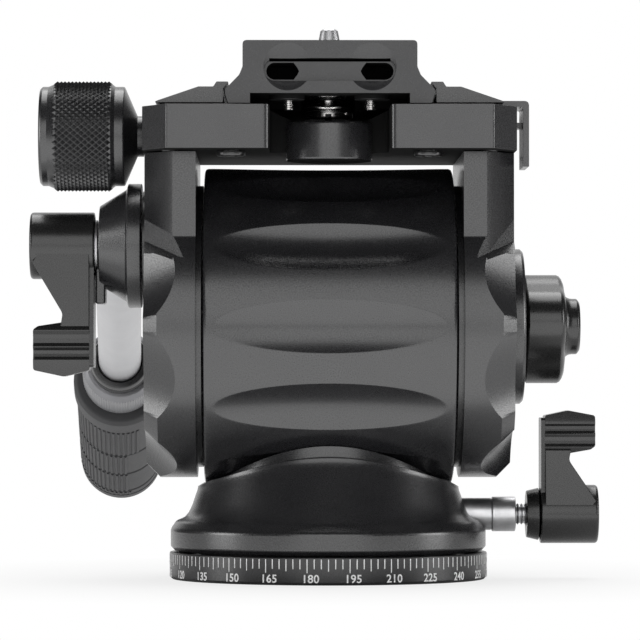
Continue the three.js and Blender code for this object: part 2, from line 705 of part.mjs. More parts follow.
function clampKnob() {
  const neckStart = across.deckHalf + seat;
  const coneStart = neckStart + knob.neckLength;
  const rimStart = coneStart + knob.cone;
  const gripStart = rimStart + knob.innerRim;
  const end = rimStart + knob.length;
  const gripEnd = end - knob.rimWidth;
  const bore = knob.spindleRadius + seat;
  const boreEnd = neckStart + knob.socket;
  const body = turned([[bore, neckStart], [knob.neck, neckStart], [knob.neck, coneStart],
    [knob.rim, rimStart], [knob.rim, gripStart - base.edge], [knob.radius, gripStart],
    [knob.radius, gripEnd - base.edge * 2], [knob.rim, gripEnd], [knob.rim, end],
    [0, end], [0, boreEnd], [bore, boreEnd]], fine, 'x');
  return shift(mirrorX(body), 0, 0, level.knob);
}

function clampSpindle() {
  const edge = -across.deckHalf;
  return alongX(knob.spindleRadius, edge - knob.socket, edge + knob.spindleReach, 0, level.knob);
}

// Quick plate

function plateOutline() {
  const z = level.plateBottom;
  const bend = plate.foot + plate.land;
  const right = [[plate.footHalf, z], [plate.halfWidth, z + plate.foot], [plate.halfWidth, z + bend],
    [plate.neckHalf, z + bend + plate.slope], [plate.neckHalf, level.plateHead - plate.edge],
    [plate.neckHalf - plate.edge, level.plateHead]];
  const left = right.map(([x, h]) => [-x, h]).reverse();
  return [...right, ...left];
}

function roundedSlot(half, low, high) {
  const r = (high - low) / 2;
  const shape = new THREE.Shape();
  shape.moveTo(r - half, low);
  shape.lineTo(half - r, low);
  shape.absarc(half - r, low + r, r, -Math.PI / 2, Math.PI / 2);
  shape.lineTo(r - half, high);
  shape.absarc(r - half, low + r, r, Math.PI / 2, 3 * Math.PI / 2);
  return shape;
}

const windowMid = level.plateBottom + plate.windowLow + plate.windowHeight / 2;
const stopY = plate.stopInset - plate.halfLength;

function quickPlate() {
  const front = -plate.halfLength;
  const low = level.plateBottom + plate.windowLow;
  const high = low + plate.windowHeight;
  const floor = level.plateBottom - past;
  const back = front + plate.windowDepth;
  const bar = swept(plateOutline(), front, plate.halfLength, 'y');
  const window = swept(roundedSlot(plate.windowHalf, low, high), front - past, back, 'y');
  const bossLow = level.plateBottom - plate.bossDrop;
  const stopHigh = level.plateBottom - plate.stopDrop + plate.stopLength + seat;
  const scoopY = front - plate.scoopRadius + plate.scoopDepth;
  const bosses = [];
  const holes = [];
  [-1, 1].forEach((side) => {
    const x = side * plate.holeX;
    bosses.push(alongZ(plate.bossRadius, bossLow, level.plateBottom + plate.foot, x, stopY));
    holes.push(alongY(plate.holeRadius, front - past, back + plate.holeDepth, x, windowMid));
    holes.push(alongZ(plate.scoopRadius, low - plate.scoopOver, high + plate.scoopOver, x, scoopY, medium));
    holes.push(alongZ(plate.stopRadius + seat, floor, stopHigh, x, stopY));
  });
  const slot = block(-plate.slotHalf, plate.slotHalf, -plate.slotFront, plate.slotBack,
    floor, level.plateHead + past);
  const relief = block(-plate.slotRelief, plate.slotRelief, -plate.slotFront + seat, plate.slotBack + seat,
    floor, level.plateBottom + plate.reliefHeight);
  const pinFloor = level.plateHead - pin.depth - pin.spring - seat * 2;
  const pinBore = alongZ(pin.radius + seat, pinFloor, level.plateHead + past, 0, -pin.y);
  return cut(join(bar, ...bosses), window, ...holes, slot, relief, pinBore);
}

function plateStop(side) {
  const low = level.plateBottom - plate.stopDrop;
  return alongZ(plate.stopRadius, low, low + plate.stopLength, side * plate.holeX, stopY);
}

function alignmentPin() {
  const low = level.plateHead - pin.depth;
  const top = level.plateHead + pin.rise;
  const shoulder = level.plateHead + pin.shoulder;
  const profile = [[0, low], [pin.radius, low], [pin.radius, shoulder], [pin.nose, top], [0, top]];
  return shift(turned(profile, small), 0, -pin.y, 0);
}

function pinSpring() {
  const top = level.plateHead - pin.depth - seat;
  const outer = pin.radius - seat;
  return shift(turned(tube(outer - pin.springWall, outer, top - pin.spring, top), small), 0, -pin.y, 0);
}

function cameraScrewBody() {
  const low = level.plateBottom - cameraScrew.drop;
  const neck = low + cameraScrew.headHeight;
  const top = level.plateHead - seat;
  const { head: headRadius, radius } = cameraScrew;
  const screw = turned([[0, low], [headRadius, low], [headRadius, neck], [radius, neck], [radius, top],
    [0, top]], medium);
  return shift(screw, 0, cameraScrew.y, 0);
}

// Release tab

function releaseTab() {
  const inner = across.deckHalf + tab.standOff;
  const outer = inner + tab.thickness;
  const low = level.deckTop + tab.rise;
  const top = low + tab.thickness;
  const tip = outer - tab.reach;
  const foot = level.deckTop - tab.drop;
  const outline = [[tip, low], [inner, low], [inner, foot], [outer, foot], [outer, top - tab.rise],
    [outer - tab.rise, top], [tip, top]];
  const bracket = swept(outline, -tab.y - tab.halfWidth, tab.halfWidth - tab.y, 'y');
  const y0 = -tab.y - tab.knuckleHalf;
  const y1 = tab.knuckleHalf - tab.y;
  const half = tab.thickness / 2;
  const knuckle = alongY(tab.knuckle, y0, y1, hingeX, hingeZ);
  const neck = block(hingeX, inner + half, y0, y1, hingeZ - half, hingeZ + half);
  const hole = alongY(tab.pinRadius + seat, y0 - past, y1 + past, hingeX, hingeZ);
  return cut(join(bracket, knuckle, neck), hole);
}

function tabPin() {
  return alongY(tab.pinRadius, -tab.y - tab.pinHalf, tab.pinHalf - tab.y, hingeX, hingeZ);
}

// Tilt lock

function lobedOutline() {
  const points = [];
  const steps = fine;
  const mid = (lockKnob.radius + lockKnob.valley) / 2;
  const swing = (lockKnob.radius - lockKnob.valley) / 2;
  for (let i = 0; i < steps; i += 1) {
    const a = 2 * Math.PI * i / steps;
    const r = mid + swing * Math.cos(lockKnob.lobes * (a - Math.PI));
    points.push([r * Math.cos(a), r * Math.sin(a)]);
  }
  return points;
}

const lockStart = across.disc + lockKnob.gap;

function tiltLockKnob() {
  const end = lockStart + lockKnob.width;
  const body = swept(lobedOutline(), lockStart, end, 'x');
  const r = lockKnob.radius;
  const edge = lockKnob.edge;
  const dome = turned([[0, lockStart - past], [r - edge, lockStart - past], [r - edge, lockStart],
    [r, lockStart + edge], [r, end - edge * 3], [r - edge * 2, end], [0, end]], fine, 'x');
  const hole = turned(rod(lockKnob.stud + seat, lockStart - past, end + past), small, 'x');
  return shift(cut(common(body, dome), hole), 0, 0, level.tilt);
}

function tiltLockScrew() {
  const start = lockStart + lockKnob.width + seat;
  const end = start + lockKnob.capHeight;
  const cap = lockKnob.capRadius;
  const foot = across.shaftHalf + seat;
  const screw = turned([[0, foot], [lockKnob.stud, foot], [lockKnob.stud, start], [cap, start],
    [cap, end - base.edge], [cap - base.edge, end], [0, end]], medium, 'x');
  return shift(screw, 0, 0, level.tilt);
}

// Handle

const hubFace = across.cheekOuter + handle.discStart;
const hubEnd = hubFace + handle.disc + handle.cone;
const handleOrigin = new THREE.Vector3(-across.cheekOuter - handle.offset, 0, level.handle);
const pitch = THREE.MathUtils.degToRad(handle.pitch);
const splay = THREE.MathUtils.degToRad(handle.splay);
const handleWay = new THREE.Vector3(-Math.sin(splay), Math.cos(splay) * Math.cos(pitch),
  -Math.cos(splay) * Math.sin(pitch));
const handleAxis = new THREE.Group();
handleAxis.position.copy(handleOrigin);
handleAxis.quaternion.setFromUnitVectors(new THREE.Vector3(0, 0, 1), handleWay);
handleAxis.updateMatrix();

const tubeStart = handle.discRadius + run * 2;
const spigotRadius = handle.tubeRadius - handle.tubeWall - seat;

function handleHub() {
  const bore = handle.screwRadius + seat;
  const edge = hubFace + handle.disc;
  const disc = turned([[bore, hubFace], [handle.discRadius, hubFace], [handle.discRadius, edge],
    [handle.coneRadius, hubEnd], [bore, hubEnd]], medium, 'x');
  const stubStart = handle.leverRadius + run;
  const stubEnd = tubeStart - seat;
  const spigotEnd = tubeStart + handle.spigot;
  const stub = turned([[0, stubStart], [handle.stubRadius, stubStart], [handle.stubRadius, stubEnd],
    [spigotRadius, stubEnd], [spigotRadius, spigotEnd], [0, spigotEnd]], medium);
  const placed = shift(mirrorX(disc), 0, 0, level.handle);
  const boreCut = alongX(bore, -hubEnd - past, past - hubFace, 0, level.handle);
  return cut(join(placed, stub.applyMatrix4(handleAxis.matrix)), boreCut);
}

function handleTube() {
  const bore = handle.tubeRadius - handle.tubeWall;
  return turned(tube(bore, handle.tubeRadius, tubeStart, handle.tubeEnd), medium);
}

const leverStart = hubEnd + handle.shoulder;

function handleLockLever() {
  const lever = wingLever(handle.leverLength, handle.leverRadius, handle.leverArm, handle.leverThickness);
  const hole = turned(rod(handle.screwRadius + seat, -past, handle.leverLength / 2), small, 'x');
  const placed = cut(lever, hole);
  placed.rotateY(Math.PI);
  return shift(placed, -leverStart - seat, 0, level.handle);
}

function handleLockScrew() {
  const shank = handle.screwRadius;
  const shoulder = handle.shoulderRadius;
  const foot = across.cheekOuter - handle.screwGrip;
  const tip = leverStart + handle.leverLength / 2;
  const screw = turned([[0, foot], [shank, foot], [shank, hubEnd + seat], [shoulder, hubEnd + seat],
    [shoulder, leverStart], [shank, leverStart], [shank, tip], [0, tip]], medium, 'x');
  return shift(mirrorX(screw), 0, 0, level.handle);
}

// Grip, along the handle's own axis

const gripStart = grip.collarStart + grip.collarLength + seat;
const gripBore = handle.tubeRadius + seat;
const gripCoreRadius = gripBore + grip.coreWall;
const rubberEnd = gripStart + grip.length - grip.capLength;

function twistCollar() {
  const start = grip.collarStart;
  const end = start + grip.collarLength;
  const r = grip.collarRadius;
  return turned([[gripBore, start], [r - base.edge, start], [r, start + base.edge], [r, end - base.edge],
    [r - base.edge, end], [gripBore, end]], medium);
}

function gripCore() {
  return turned(tube(gripBore, gripCoreRadius, gripStart, rubberEnd - seat), medium);
}

function gripRubber() {
  const bore = gripCoreRadius + seat;
  const lip = grip.lipRadius;
  const bevel = base.edge * 2;
  const profile = [[bore, gripStart], [lip - bevel, gripStart], [lip, gripStart + bevel],
    [lip, gripStart + grip.lipLength], [grip.radius, gripStart + grip.lipLength + bevel]];
  grip.grooveShares.forEach((share) => {
    const at = gripStart + grip.length * share;
    profile.push([grip.radius, at - grip.grooveWidth / 2]);
    profile.push([grip.radius - grip.grooveDepth, at]);
    profile.push([grip.radius, at + grip.grooveWidth / 2]);
  });
  profile.push([grip.radius, rubberEnd - seat], [bore, rubberEnd - seat]);
  return turned(profile, medium);
}

function gripEndCap() {
  const r = grip.radius;
  const long = grip.capLength;
  const steps = small / 2;
  const profile = [[0, rubberEnd]];
  for (let i = 0; i <= steps; i += 1) {
    const a = Math.PI / 2 * i / steps;
    profile.push([r * Math.cos(a), rubberEnd + long * Math.sin(a)]);
  }
  profile[profile.length - 1][0] = 0;
  return turned(profile, medium);
}

// Assembly

place('base_plate', basePlate(), darkMetal());
place('graduated_ring', graduatedRing(), anodised());
place('thread_bush', threadBush(), steel());
place('pan_spindle', panSpindle(), steel());
place('pan_nut', panNut(), steel());
place('pan_bearing', panBearing(), bronze());
place('pan_damper_ring', panDamperRing(), nylon());
place('pan_seal', panSeal(), rubber());

place('pan_housing', panHousing(), anodised());
place('pan_lock_sleeve', panLockSleeve(), silver());
place('drum_shell', drumShell(), anodised());
place('drum_cap_right', drumCap(), darkMetal());
place('drum_cap_left', mirrorX(drumCap()), darkMetal());
place('tilt_bearing_right', tiltBearing(), bronze());
place('tilt_bearing_left', mirrorX(tiltBearing()), bronze());
place('tilt_stator', tiltStator(), nylon());
place('drum_bolt_front', drumBolt(-1), steel());
place('drum_bolt_back', drumBolt(1), steel());

place('pan_lock_lever', panLockLever(), anodised());
place('pan_lock_collar', panLockCollar(), darkMetal());
place('pan_lock_stud', panLockStud(), steel());

place('cheek_right', cheekRight(), anodised());
place('cheek_left', cheekLeft(), anodised());
place('deck', deckBody(), anodised());
place('tilt_shaft', tiltShaft(), steel());
place('tilt_rotor', tiltRotor(), nylon());
place('tilt_washer_right', tiltWasher(), nylon());
place('tilt_washer_left', mirrorX(tiltWasher()), nylon());
place('handle_rosette', handleRosette(), steel());
place('side_disc', sideDisc(), anodised());
place('deck_screw_front_right', deckScrew(1, -1), steel());
place('deck_screw_back_right', deckScrew(1, 1), steel());
place('deck_screw_front_left', deckScrew(-1, -1), steel());
place('deck_screw_back_left', deckScrew(-1, 1), steel());
place('under_screw_right', underScrew(1), darkMetal());
place('under_screw_left', underScrew(-1), darkMetal());
place('fixed_jaw', fixedJaw(), anodised());
place('guide_pin_front', guidePin(-1), steel());
place('guide_pin_back', guidePin(1), steel());
place('tab_pin', tabPin(), steel());

place('moving_jaw', movingJaw(), anodised());
place('clamp_knob', clampKnob(), darkMetal());
place('clamp_spindle', clampSpindle(), steel());
place('release_tab', releaseTab(), anodised());

place('quick_plate', quickPlate(), anodised());
place('plate_stop_right', plateStop(1), steel());
place('plate_stop_left', plateStop(-1), steel());
place('alignment_pin', alignmentPin(), steel());
place('pin_spring', pinSpring(), steel());
place('camera_screw', cameraScrewBody(), steel());

place('tilt_lock_knob', tiltLockKnob(), darkMetal());
place('tilt_lock_screw', tiltLockScrew(), darkMetal());

place('handle_hub', handleHub(), anodised());
place('handle_lock_lever', handleLockLever(), anodised());
place('handle_lock_screw', handleLockScrew(), steel());
head.add(handleAxis);
place('handle_tube', handleTube(), silver(), handleAxis);
place('twist_collar', twistCollar(), silver(), handleAxis);
place('grip_core', gripCore(), darkMetal(), handleAxis);
place('grip_rubber', gripRubber(), rubber(), handleAxis);
place('grip_end_cap', gripEndCap(), rubber(), handleAxis);

export default head;
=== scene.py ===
import math
from types import SimpleNamespace as Sizes

import bmesh
import bpy
from mathutils import Matrix, Vector


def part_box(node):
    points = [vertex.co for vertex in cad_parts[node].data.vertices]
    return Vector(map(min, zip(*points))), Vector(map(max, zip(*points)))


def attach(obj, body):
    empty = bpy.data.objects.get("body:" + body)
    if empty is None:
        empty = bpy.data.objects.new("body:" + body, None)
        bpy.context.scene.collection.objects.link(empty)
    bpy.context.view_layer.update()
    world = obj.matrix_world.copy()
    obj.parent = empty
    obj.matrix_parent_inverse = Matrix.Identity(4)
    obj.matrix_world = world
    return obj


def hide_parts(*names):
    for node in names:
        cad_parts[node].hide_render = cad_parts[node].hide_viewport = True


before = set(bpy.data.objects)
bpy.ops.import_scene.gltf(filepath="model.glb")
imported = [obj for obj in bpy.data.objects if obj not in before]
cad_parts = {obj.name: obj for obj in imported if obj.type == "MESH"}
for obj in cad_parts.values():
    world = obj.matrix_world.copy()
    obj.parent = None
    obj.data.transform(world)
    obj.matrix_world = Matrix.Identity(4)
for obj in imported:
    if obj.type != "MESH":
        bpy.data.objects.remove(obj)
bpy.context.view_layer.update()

# Fluid video head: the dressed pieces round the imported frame. Pieces are drawn in millimetres in the
# frame's own axes, then turned into metres when they are handed over.

MM = 0.001
FINE = 240  # faces round the large turned pieces
ROUND = 96  # faces round a knob or disc
SMALL = 48  # faces round a screw or pin
EDGE = 0.2  # how far a machined edge is broken
PAST = 2.0  # how far a cutter passes the face that it cuts
SINK = 0.05  # how deep an added tooth or rib is rooted in its body
SAME = 1e-4  # points nearer than this are one
SEAT = 0.3  # the gap between pieces that touch
LEAST_TURN = math.radians(8)  # a corner flatter than this stays as it is
SIDE_SHARE = 0.45  # how much of a side a corner's arc may take


# Places from the frame

def span(node):
    low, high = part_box(node)
    return low / MM, high / MM


def middle(node):
    low, high = span(node)
    return (low + high) / 2


drum_high = span("drum_shell")[1]
deck_low, deck_high = span("deck")
ring_high = span("graduated_ring")[1]
plate_low, plate_high = span("quick_plate")
cheek_high = span("cheek_right")[1]
TILT = Vector((0, 0, middle("tilt_shaft").z))
DRUM = drum_high.z - TILT.z
PAN_LOCK = middle("pan_lock_stud").z
KNOB = middle("clamp_spindle").z
HANDLE = middle("handle_rosette").z


# Outlines

def corner_arc(here, back, ahead, size, steps):
    """The arc that takes a corner's place, between the sides that meet there."""
    reach = min(size, back.length * SIDE_SHARE, ahead.length * SIDE_SHARE)
    start = here + back.normalized() * reach
    end = here + ahead.normalized() * reach
    shares = [k / steps for k in range(steps + 1)]
    return [start * (1 - t) ** 2 + here * 2 * t * (1 - t) + end * t ** 2 for t in shares]


def rounded(points, radius, steps=3, closed=False):
    """The outline with each corner turned into a small arc. A third number is that corner's own radius."""
    outline = []
    count = len(points)
    for i, corner in enumerate(points):
        here = Vector(corner[:2])
        ends_here = not closed and i in (0, count - 1)
        back = Vector(points[i - 1][:2]) - here
        ahead = Vector(points[(i + 1) % count][:2]) - here
        size = corner[2] if len(corner) > 2 else radius
        turn = 0 if ends_here or not size else math.pi - back.angle(ahead)
        if turn < LEAST_TURN:
            outline.append(here)
        else:
            outline += corner_arc(here, back, ahead, size * math.tan(turn / 2), steps)
    return outline


def arc(centre, radius, start, end, steps):
    """Points on a circle, from one angle in degrees to another."""
    angles = [math.radians(start + (end - start) * k / steps) for k in range(steps + 1)]
    return [(centre[0] + radius * math.cos(a), centre[1] + radius * math.sin(a)) for a in angles]


def mirrored(points):
    return [(-p[0], *p[1:]) for p in reversed(points)]


# Solids, in millimetres

PLANES = {
    "x": (Vector((0, 1, 0)), Vector((0, 0, 1)), Vector((1, 0, 0))),
    "y": (Vector((1, 0, 0)), Vector((0, 0, 1)), Vector((0, 1, 0))),
    "z": (Vector((1, 0, 0)), Vector((0, 1, 0)), Vector((0, 0, 1))),
}


def new_object(name, data):
    made = bpy.data.objects.new(name, data)
    bpy.context.scene.collection.objects.link(made)
    return made


def solid(name, points, faces, weld=SAME):
    """A mesh with its doubles merged and its faces turned outwards."""
    mesh = bpy.data.meshes.new(name)
    mesh.from_pydata([tuple(p) for p in points], [], faces)
    turn_out(mesh, weld)
    return new_object(name, mesh)


def turn_out(mesh, weld=SAME):
    shell = bmesh.new()
    shell.from_mesh(mesh)
    bmesh.ops.remove_doubles(shell, verts=shell.verts, dist=weld)
    bmesh.ops.recalc_face_normals(shell, faces=shell.faces)
    shell.to_mesh(mesh)
    shell.free()


def turns_of(count):
    return [2 * math.pi * k / count for k in range(count)]


def ringed(name, rows, closed=False):
    """A solid through rows of points, each a ring or a single pole. Closed, the last joins the first."""
    points = []
    rings = []
    for row in rows:
        rings.append(list(range(len(points), len(points) + len(row))))
        points += row
    if closed:
        rings.append(rings[0])
    return solid(name, points, ring_faces(rings, max(len(row) for row in rows)))


def turned(name, profile, axis="x", centre=(0, 0, 0), around=ROUND, edge=EDGE, steps=3):
    """A profile of (radius, place along the axis) turned about the axis. It starts and ends on the
    axis, or else closes on itself."""
    hollow = profile[0][0] > 0
    side, up, along = PLANES[axis]
    rows = []
    for radius, place in rounded(profile, edge, steps, closed=hollow):
        base = Vector(centre) + along * place
        turns = turns_of(around) if radius >= SAME else []
        ring_row = [base + side * (radius * math.cos(a)) + up * (radius * math.sin(a)) for a in turns]
        rows.append(ring_row or [base])
    return ringed(name, rows, hollow)


def ring_faces(rings, around):
    """Faces between rings of points, where a ring of one point is a pole."""
    faces = []
    for a, b in zip(rings, rings[1:]):
        for k in range(around):
            n = (k + 1) % around
            if len(a) == 1 and len(b) == 1:
                continue
            if len(a) == 1:
                faces.append((a[0], b[k], b[n]))
            elif len(b) == 1:
                faces.append((a[k], a[n], b[0]))
            else:
                faces.append((a[k], a[n], b[n], b[k]))
    return faces


def prism(name, near, far):
    """A solid between two outlines with the same count of points."""
    count = len(near)
    faces = [tuple(range(count)), tuple(range(count, 2 * count))]
    faces += [(k, (k + 1) % count, count + (k + 1) % count, count + k) for k in range(count)]
    return solid(name, near + far, faces)


def drawn(name, outline, start, end, axis="y"):
    """An outline in the plane across an axis, drawn out along it."""
    side, up, along = PLANES[axis]
    near, far = [[side * p[0] + up * p[1] + along * place for p in outline] for place in (start, end)]
    return prism(name, near, far)


def block(low, high):
    outline = [(low[0], low[1]), (high[0], low[1]), (high[0], high[1]), (low[0], high[1])]
    return drawn("block", outline, low[2], high[2], "z")


def rod(radius, start, end, axis="x", centre=(0, 0, 0), around=SMALL):
    """A plain round bar, for cutting."""
    return turned("rod", [(0, start), (radius, start), (radius, end), (0, end)], axis, centre, around, 0)


def upright(name, node, profile, around=SMALL, edge=EDGE, steps=3):
    """A profile turned about the vertical through a node's middle."""
    centre = middle(node)
    return turned(name, profile, "z", (centre.x, centre.y, 0), around, edge, steps)


def threaded(start, end, pitch, ridge):
    """A thread's outline: the same ridge of (radius, place) again and again, at one pitch."""
    outline = []
    place = start
    while place < end:
        outline += [(radius, place + rise, 0) for radius, rise in ridge]
        place += pitch
    return outline


def moved(piece, way):
    piece.data.transform(way)
    return piece


# Working on solids

def settled(piece):
    """The piece with what its modifiers do made part of its mesh."""
    graph = bpy.context.evaluated_depsgraph_get()
    mesh = bpy.data.meshes.new_from_object(piece.evaluated_get(graph))
    piece.modifiers.clear()
    bare = piece.data
    piece.data = mesh
    bpy.data.meshes.remove(bare)
    return piece


def worked(piece, operation, tools):
    for tool in tools:
        step = piece.modifiers.new(operation, "BOOLEAN")
        step.operation = operation
        step.solver = "EXACT"
        step.object = tool
        settled(piece)
        bpy.data.objects.remove(tool)
    return piece


def cut(piece, *tools):
    return worked(piece, "DIFFERENCE", tools)


def join(piece, *tools):
    return worked(piece, "UNION", tools)


def common(piece, *tools):
    return worked(piece, "INTERSECT", tools)


def gathered(piece, *others):
    """Separate solids held in one mesh, such as a group of like screws."""
    for other in others:
        shell = bmesh.new()
        shell.from_mesh(piece.data)
        shell.from_mesh(other.data)
        shell.to_mesh(piece.data)
        shell.free()
        bpy.data.objects.remove(other)
    return piece


def broken(piece, width=EDGE, angle=28, steps=3):
    """The piece with its sharp edges broken, as after machining and blasting."""
    turn_out(piece.data)
    step = piece.modifiers.new("edges", "BEVEL")
    step.width = width
    step.segments = steps
    step.limit_method = "ANGLE"
    step.angle_limit = math.radians(angle)
    step.use_clamp_overlap = True
    step.loop_slide = True
    return settled(piece)


def flipped(piece):
    """The piece's twin on the other side of the middle plane."""
    piece.data.transform(Matrix.Scale(-1, 4, Vector((1, 0, 0))))
    turn_out(piece.data)
    return piece


def twin(piece, name):
    return flipped(new_object(name, piece.data.copy()))


def piece_of(piece, name, body, finish, slot, *nodes, crease=42, recess=None):
    """Hands a solid over to the frame: named, in metres, smooth, finished, riding on its body. The
    faces that recess picks, by middle and normal, get the near-black material of painted shade."""
    piece.name = name
    piece.data.name = name
    turn_out(piece.data)
    piece.data.transform(Matrix.Scale(MM, 4))
    piece.data.shade_smooth()
    piece.data.set_sharp_from_angle(angle=math.radians(crease))
    weigh = piece.modifiers.new("normals", "WEIGHTED_NORMAL")
    weigh.keep_sharp = True
    weigh.weight = 80
    settled(piece)
    piece.data.materials.clear()
    piece.data.materials.append(finish)
    # Painted shade: the faces that recess picks get the near-black shade material as a second material.
    if recess:
        piece.data.materials.append(PAINTED_SHADE_BLACK)
        for face in piece.data.polygons:
            if recess(face.center / MM, face.normal):
                face.material_index = 1
    if nodes:
        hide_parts(*nodes)
    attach(piece, body)
    return piece


# Nodes, which the materials, the world and the repeated pieces share

def math_node(tree, operation, *sources):
    node = tree.nodes.new("ShaderNodeMath")
    node.operation = operation
    for place, source in enumerate(sources):
        tree.links.new(source, node.inputs[place])
    return node.outputs[0]


def mixed_shader(tree, share, first, second):
    node = tree.nodes.new("ShaderNodeMixShader")
    for place, source in enumerate((share, first, second)):
        tree.links.new(source, node.inputs[place])
    return node.outputs[0]


def set_range(node, start, end):
    node.inputs["From Min"].default_value = start
    node.inputs["From Max"].default_value = end


# Pieces that repeat, by geometry nodes

def repeating_tree():
    """Copies of what goes in, turned about an axis at one pitch, in rows along that axis."""
    tree = bpy.data.node_groups.new("copies round an axis", "GeometryNodeTree")
    sockets = {"Geometry": "Geometry", "Count": "Int", "Rows": "Int", "Pitch": "Float", "Row Turn": "Float",
               "Row Step": "Float", "Axis": "Vector", "Weld": "Float", "Finish": "Material"}
    for name, kind in sockets.items():
        tree.interface.new_socket(name, in_out="INPUT", socket_type="NodeSocket" + kind)
    tree.interface.new_socket("Geometry", in_out="OUTPUT", socket_type="NodeSocketGeometry")
    given = tree.nodes.new("NodeGroupInput").outputs

    def node(kind, **sources):
        made = tree.nodes.new(kind)
        for name, source in sources.items():
            tree.links.new(source, made.inputs[name])
        return made

    index = node("GeometryNodeInputIndex").outputs[0]
    row = math_node(tree, "FLOOR", math_node(tree, "DIVIDE", index, given["Count"]))
    place = math_node(tree, "SUBTRACT", index, math_node(tree, "MULTIPLY", row, given["Count"]))
    row_turn = math_node(tree, "MULTIPLY", row, given["Row Turn"])
    angle = math_node(tree, "ADD", math_node(tree, "MULTIPLY", place, given["Pitch"]), row_turn)
    spin = node("FunctionNodeAxisAngleToRotation", Axis=given["Axis"], Angle=angle)
    offset = tree.nodes.new("ShaderNodeVectorMath")
    offset.operation = "SCALE"
    tree.links.new(given["Axis"], offset.inputs[0])
    tree.links.new(math_node(tree, "MULTIPLY", row, given["Row Step"]), offset.inputs["Scale"])
    line = node("GeometryNodeMeshLine", Count=math_node(tree, "MULTIPLY", given["Count"], given["Rows"]))
    seats = node("GeometryNodeSetPosition", Geometry=line.outputs[0], Position=offset.outputs[0])
    copies = node("GeometryNodeInstanceOnPoints", Points=seats.outputs[0], Instance=given["Geometry"],
                  Rotation=spin.outputs[0])
    real = node("GeometryNodeRealizeInstances", Geometry=copies.outputs[0])
    merge = node("GeometryNodeMergeByDistance", Geometry=real.outputs[0], Distance=given["Weld"])
    coat = node("GeometryNodeSetMaterial", Geometry=merge.outputs[0], Material=given["Finish"])
    tree.links.new(coat.outputs[0], tree.nodes.new("NodeGroupOutput").inputs[0])
    return tree


REPEATING = repeating_tree()


def repeated(copy, count, pitch, axis, finish, rows=1, row_turn=0.0, row_step=0.0, start=0.0, weld=SAME):
    """A cell drawn about an axis through the origin, repeated round it. Angles are in degrees."""
    copy.data.transform(Matrix.Rotation(math.radians(start), 4, PLANES[axis][2]))
    step = copy.modifiers.new("copies", "NODES")
    step.node_group = REPEATING
    values = {"Count": count, "Rows": rows, "Pitch": math.radians(pitch),
              "Row Turn": math.radians(row_turn), "Row Step": float(row_step),
              "Axis": tuple(PLANES[axis][2]), "Weld": float(weld), "Finish": finish}
    for item in REPEATING.interface.items_tree:
        if item.in_out == "INPUT" and item.name in values:
            step[item.identifier] = values[item.name]
    return settled(copy)


# Finishes

class Finish:
    """A material with short ways to add nodes."""

    def __init__(self, name):
        self.material = bpy.data.materials.new(name)
        self.material.use_nodes = True
        self.tree = self.material.node_tree
        self.shader = self.tree.nodes["Principled BSDF"]
        self.place = self.node("ShaderNodeTexCoord").outputs["Object"]

    def node(self, kind, **values):
        made = self.tree.nodes.new(kind)
        for name, value in values.items():
            made.inputs[name.replace("_", " ")].default_value = value
        return made

    def link(self, source, target):
        self.tree.links.new(source, target)

    def noise(self, size, detail=2.0, stretch=(1, 1, 1), rough=0.5):
        """Noise whose grains are about that many millimetres across."""
        mapping = self.node("ShaderNodeMapping", Scale=[s / (size * MM) for s in stretch])
        self.link(self.place, mapping.inputs["Vector"])
        made = self.node("ShaderNodeTexNoise", Scale=1.0, Detail=detail, Roughness=rough)
        self.link(mapping.outputs[0], made.inputs["Vector"])
        return made.outputs["Fac"]

    def ranged(self, source, low, high, start=0.3, end=0.7):
        made = self.node("ShaderNodeMapRange")
        set_range(made, start, end)
        made.inputs["To Min"].default_value = low
        made.inputs["To Max"].default_value = high
        self.link(source, made.inputs["Value"])
        return made.outputs[0]

    def mixed(self, share, first, second):
        made = self.tree.nodes.new("ShaderNodeMix")
        made.data_type = "RGBA"
        made.inputs["A"].default_value = (*first, 1)
        made.inputs["B"].default_value = (*second, 1)
        self.link(share, made.inputs["Factor"])
        return made.outputs["Result"]

    def bumps(self, *heights):
        """Bumps chained on each other, each a source and its height in millimetres."""
        normal = None
        for source, height in heights:
            bump = self.node("ShaderNodeBump", Strength=1.0, Distance=height * MM)
            self.link(source, bump.inputs["Height"])
            if normal:
                self.link(normal, bump.inputs["Normal"])
            normal = bump.outputs[0]
        self.link(normal, self.shader.inputs["Normal"])

    def coated(self, tone, dark, light, grain, roughness, *heights):
        """The material, its colour between two tones and its roughness between two values."""
        self.link(self.mixed(tone, dark, light), self.shader.inputs["Base Color"])
        self.link(self.ranged(grain, *roughness), self.shader.inputs["Roughness"])
        self.bumps(*heights)
        return self.material

    def set(self, name, value):
        self.shader.inputs[name].default_value = value


def blasted(name, dark, light, roughness, metallic=0.0, grain=0.16, depth=0.006, specular=0.5):
    """Bead-blasted and anodised aluminium: a fine even grain and faint clouds in the dye."""
    made = Finish(name)
    clouds = made.noise(7.0, 3.0)
    fine = made.noise(grain, 1.0)
    made.set("Metallic", metallic)
    made.set("Specular IOR Level", specular)
    return made.coated(made.ranged(clouds, 0, 1), dark, light, fine, (roughness - 0.05, roughness + 0.07),
                       (fine, depth), (clouds, 0.002))


def lathe_turned(name, colour, roughness, axis, groove=0.09, depth=0.002, metallic=1.0):
    """Bright turned metal: fine tool marks across the axis and a slight change of tone."""
    made = Finish(name)
    across = [1 if letter == axis else 0.02 for letter in "xyz"]
    marks = made.noise(groove, 2.0, across)
    tone = made.noise(2.5, 2.0)
    made.set("Metallic", metallic)
    return made.coated(made.ranged(tone, 0, 1), [c * 0.82 for c in colour], colour, marks,
                       (roughness - 0.06, roughness + 0.08), (marks, depth))


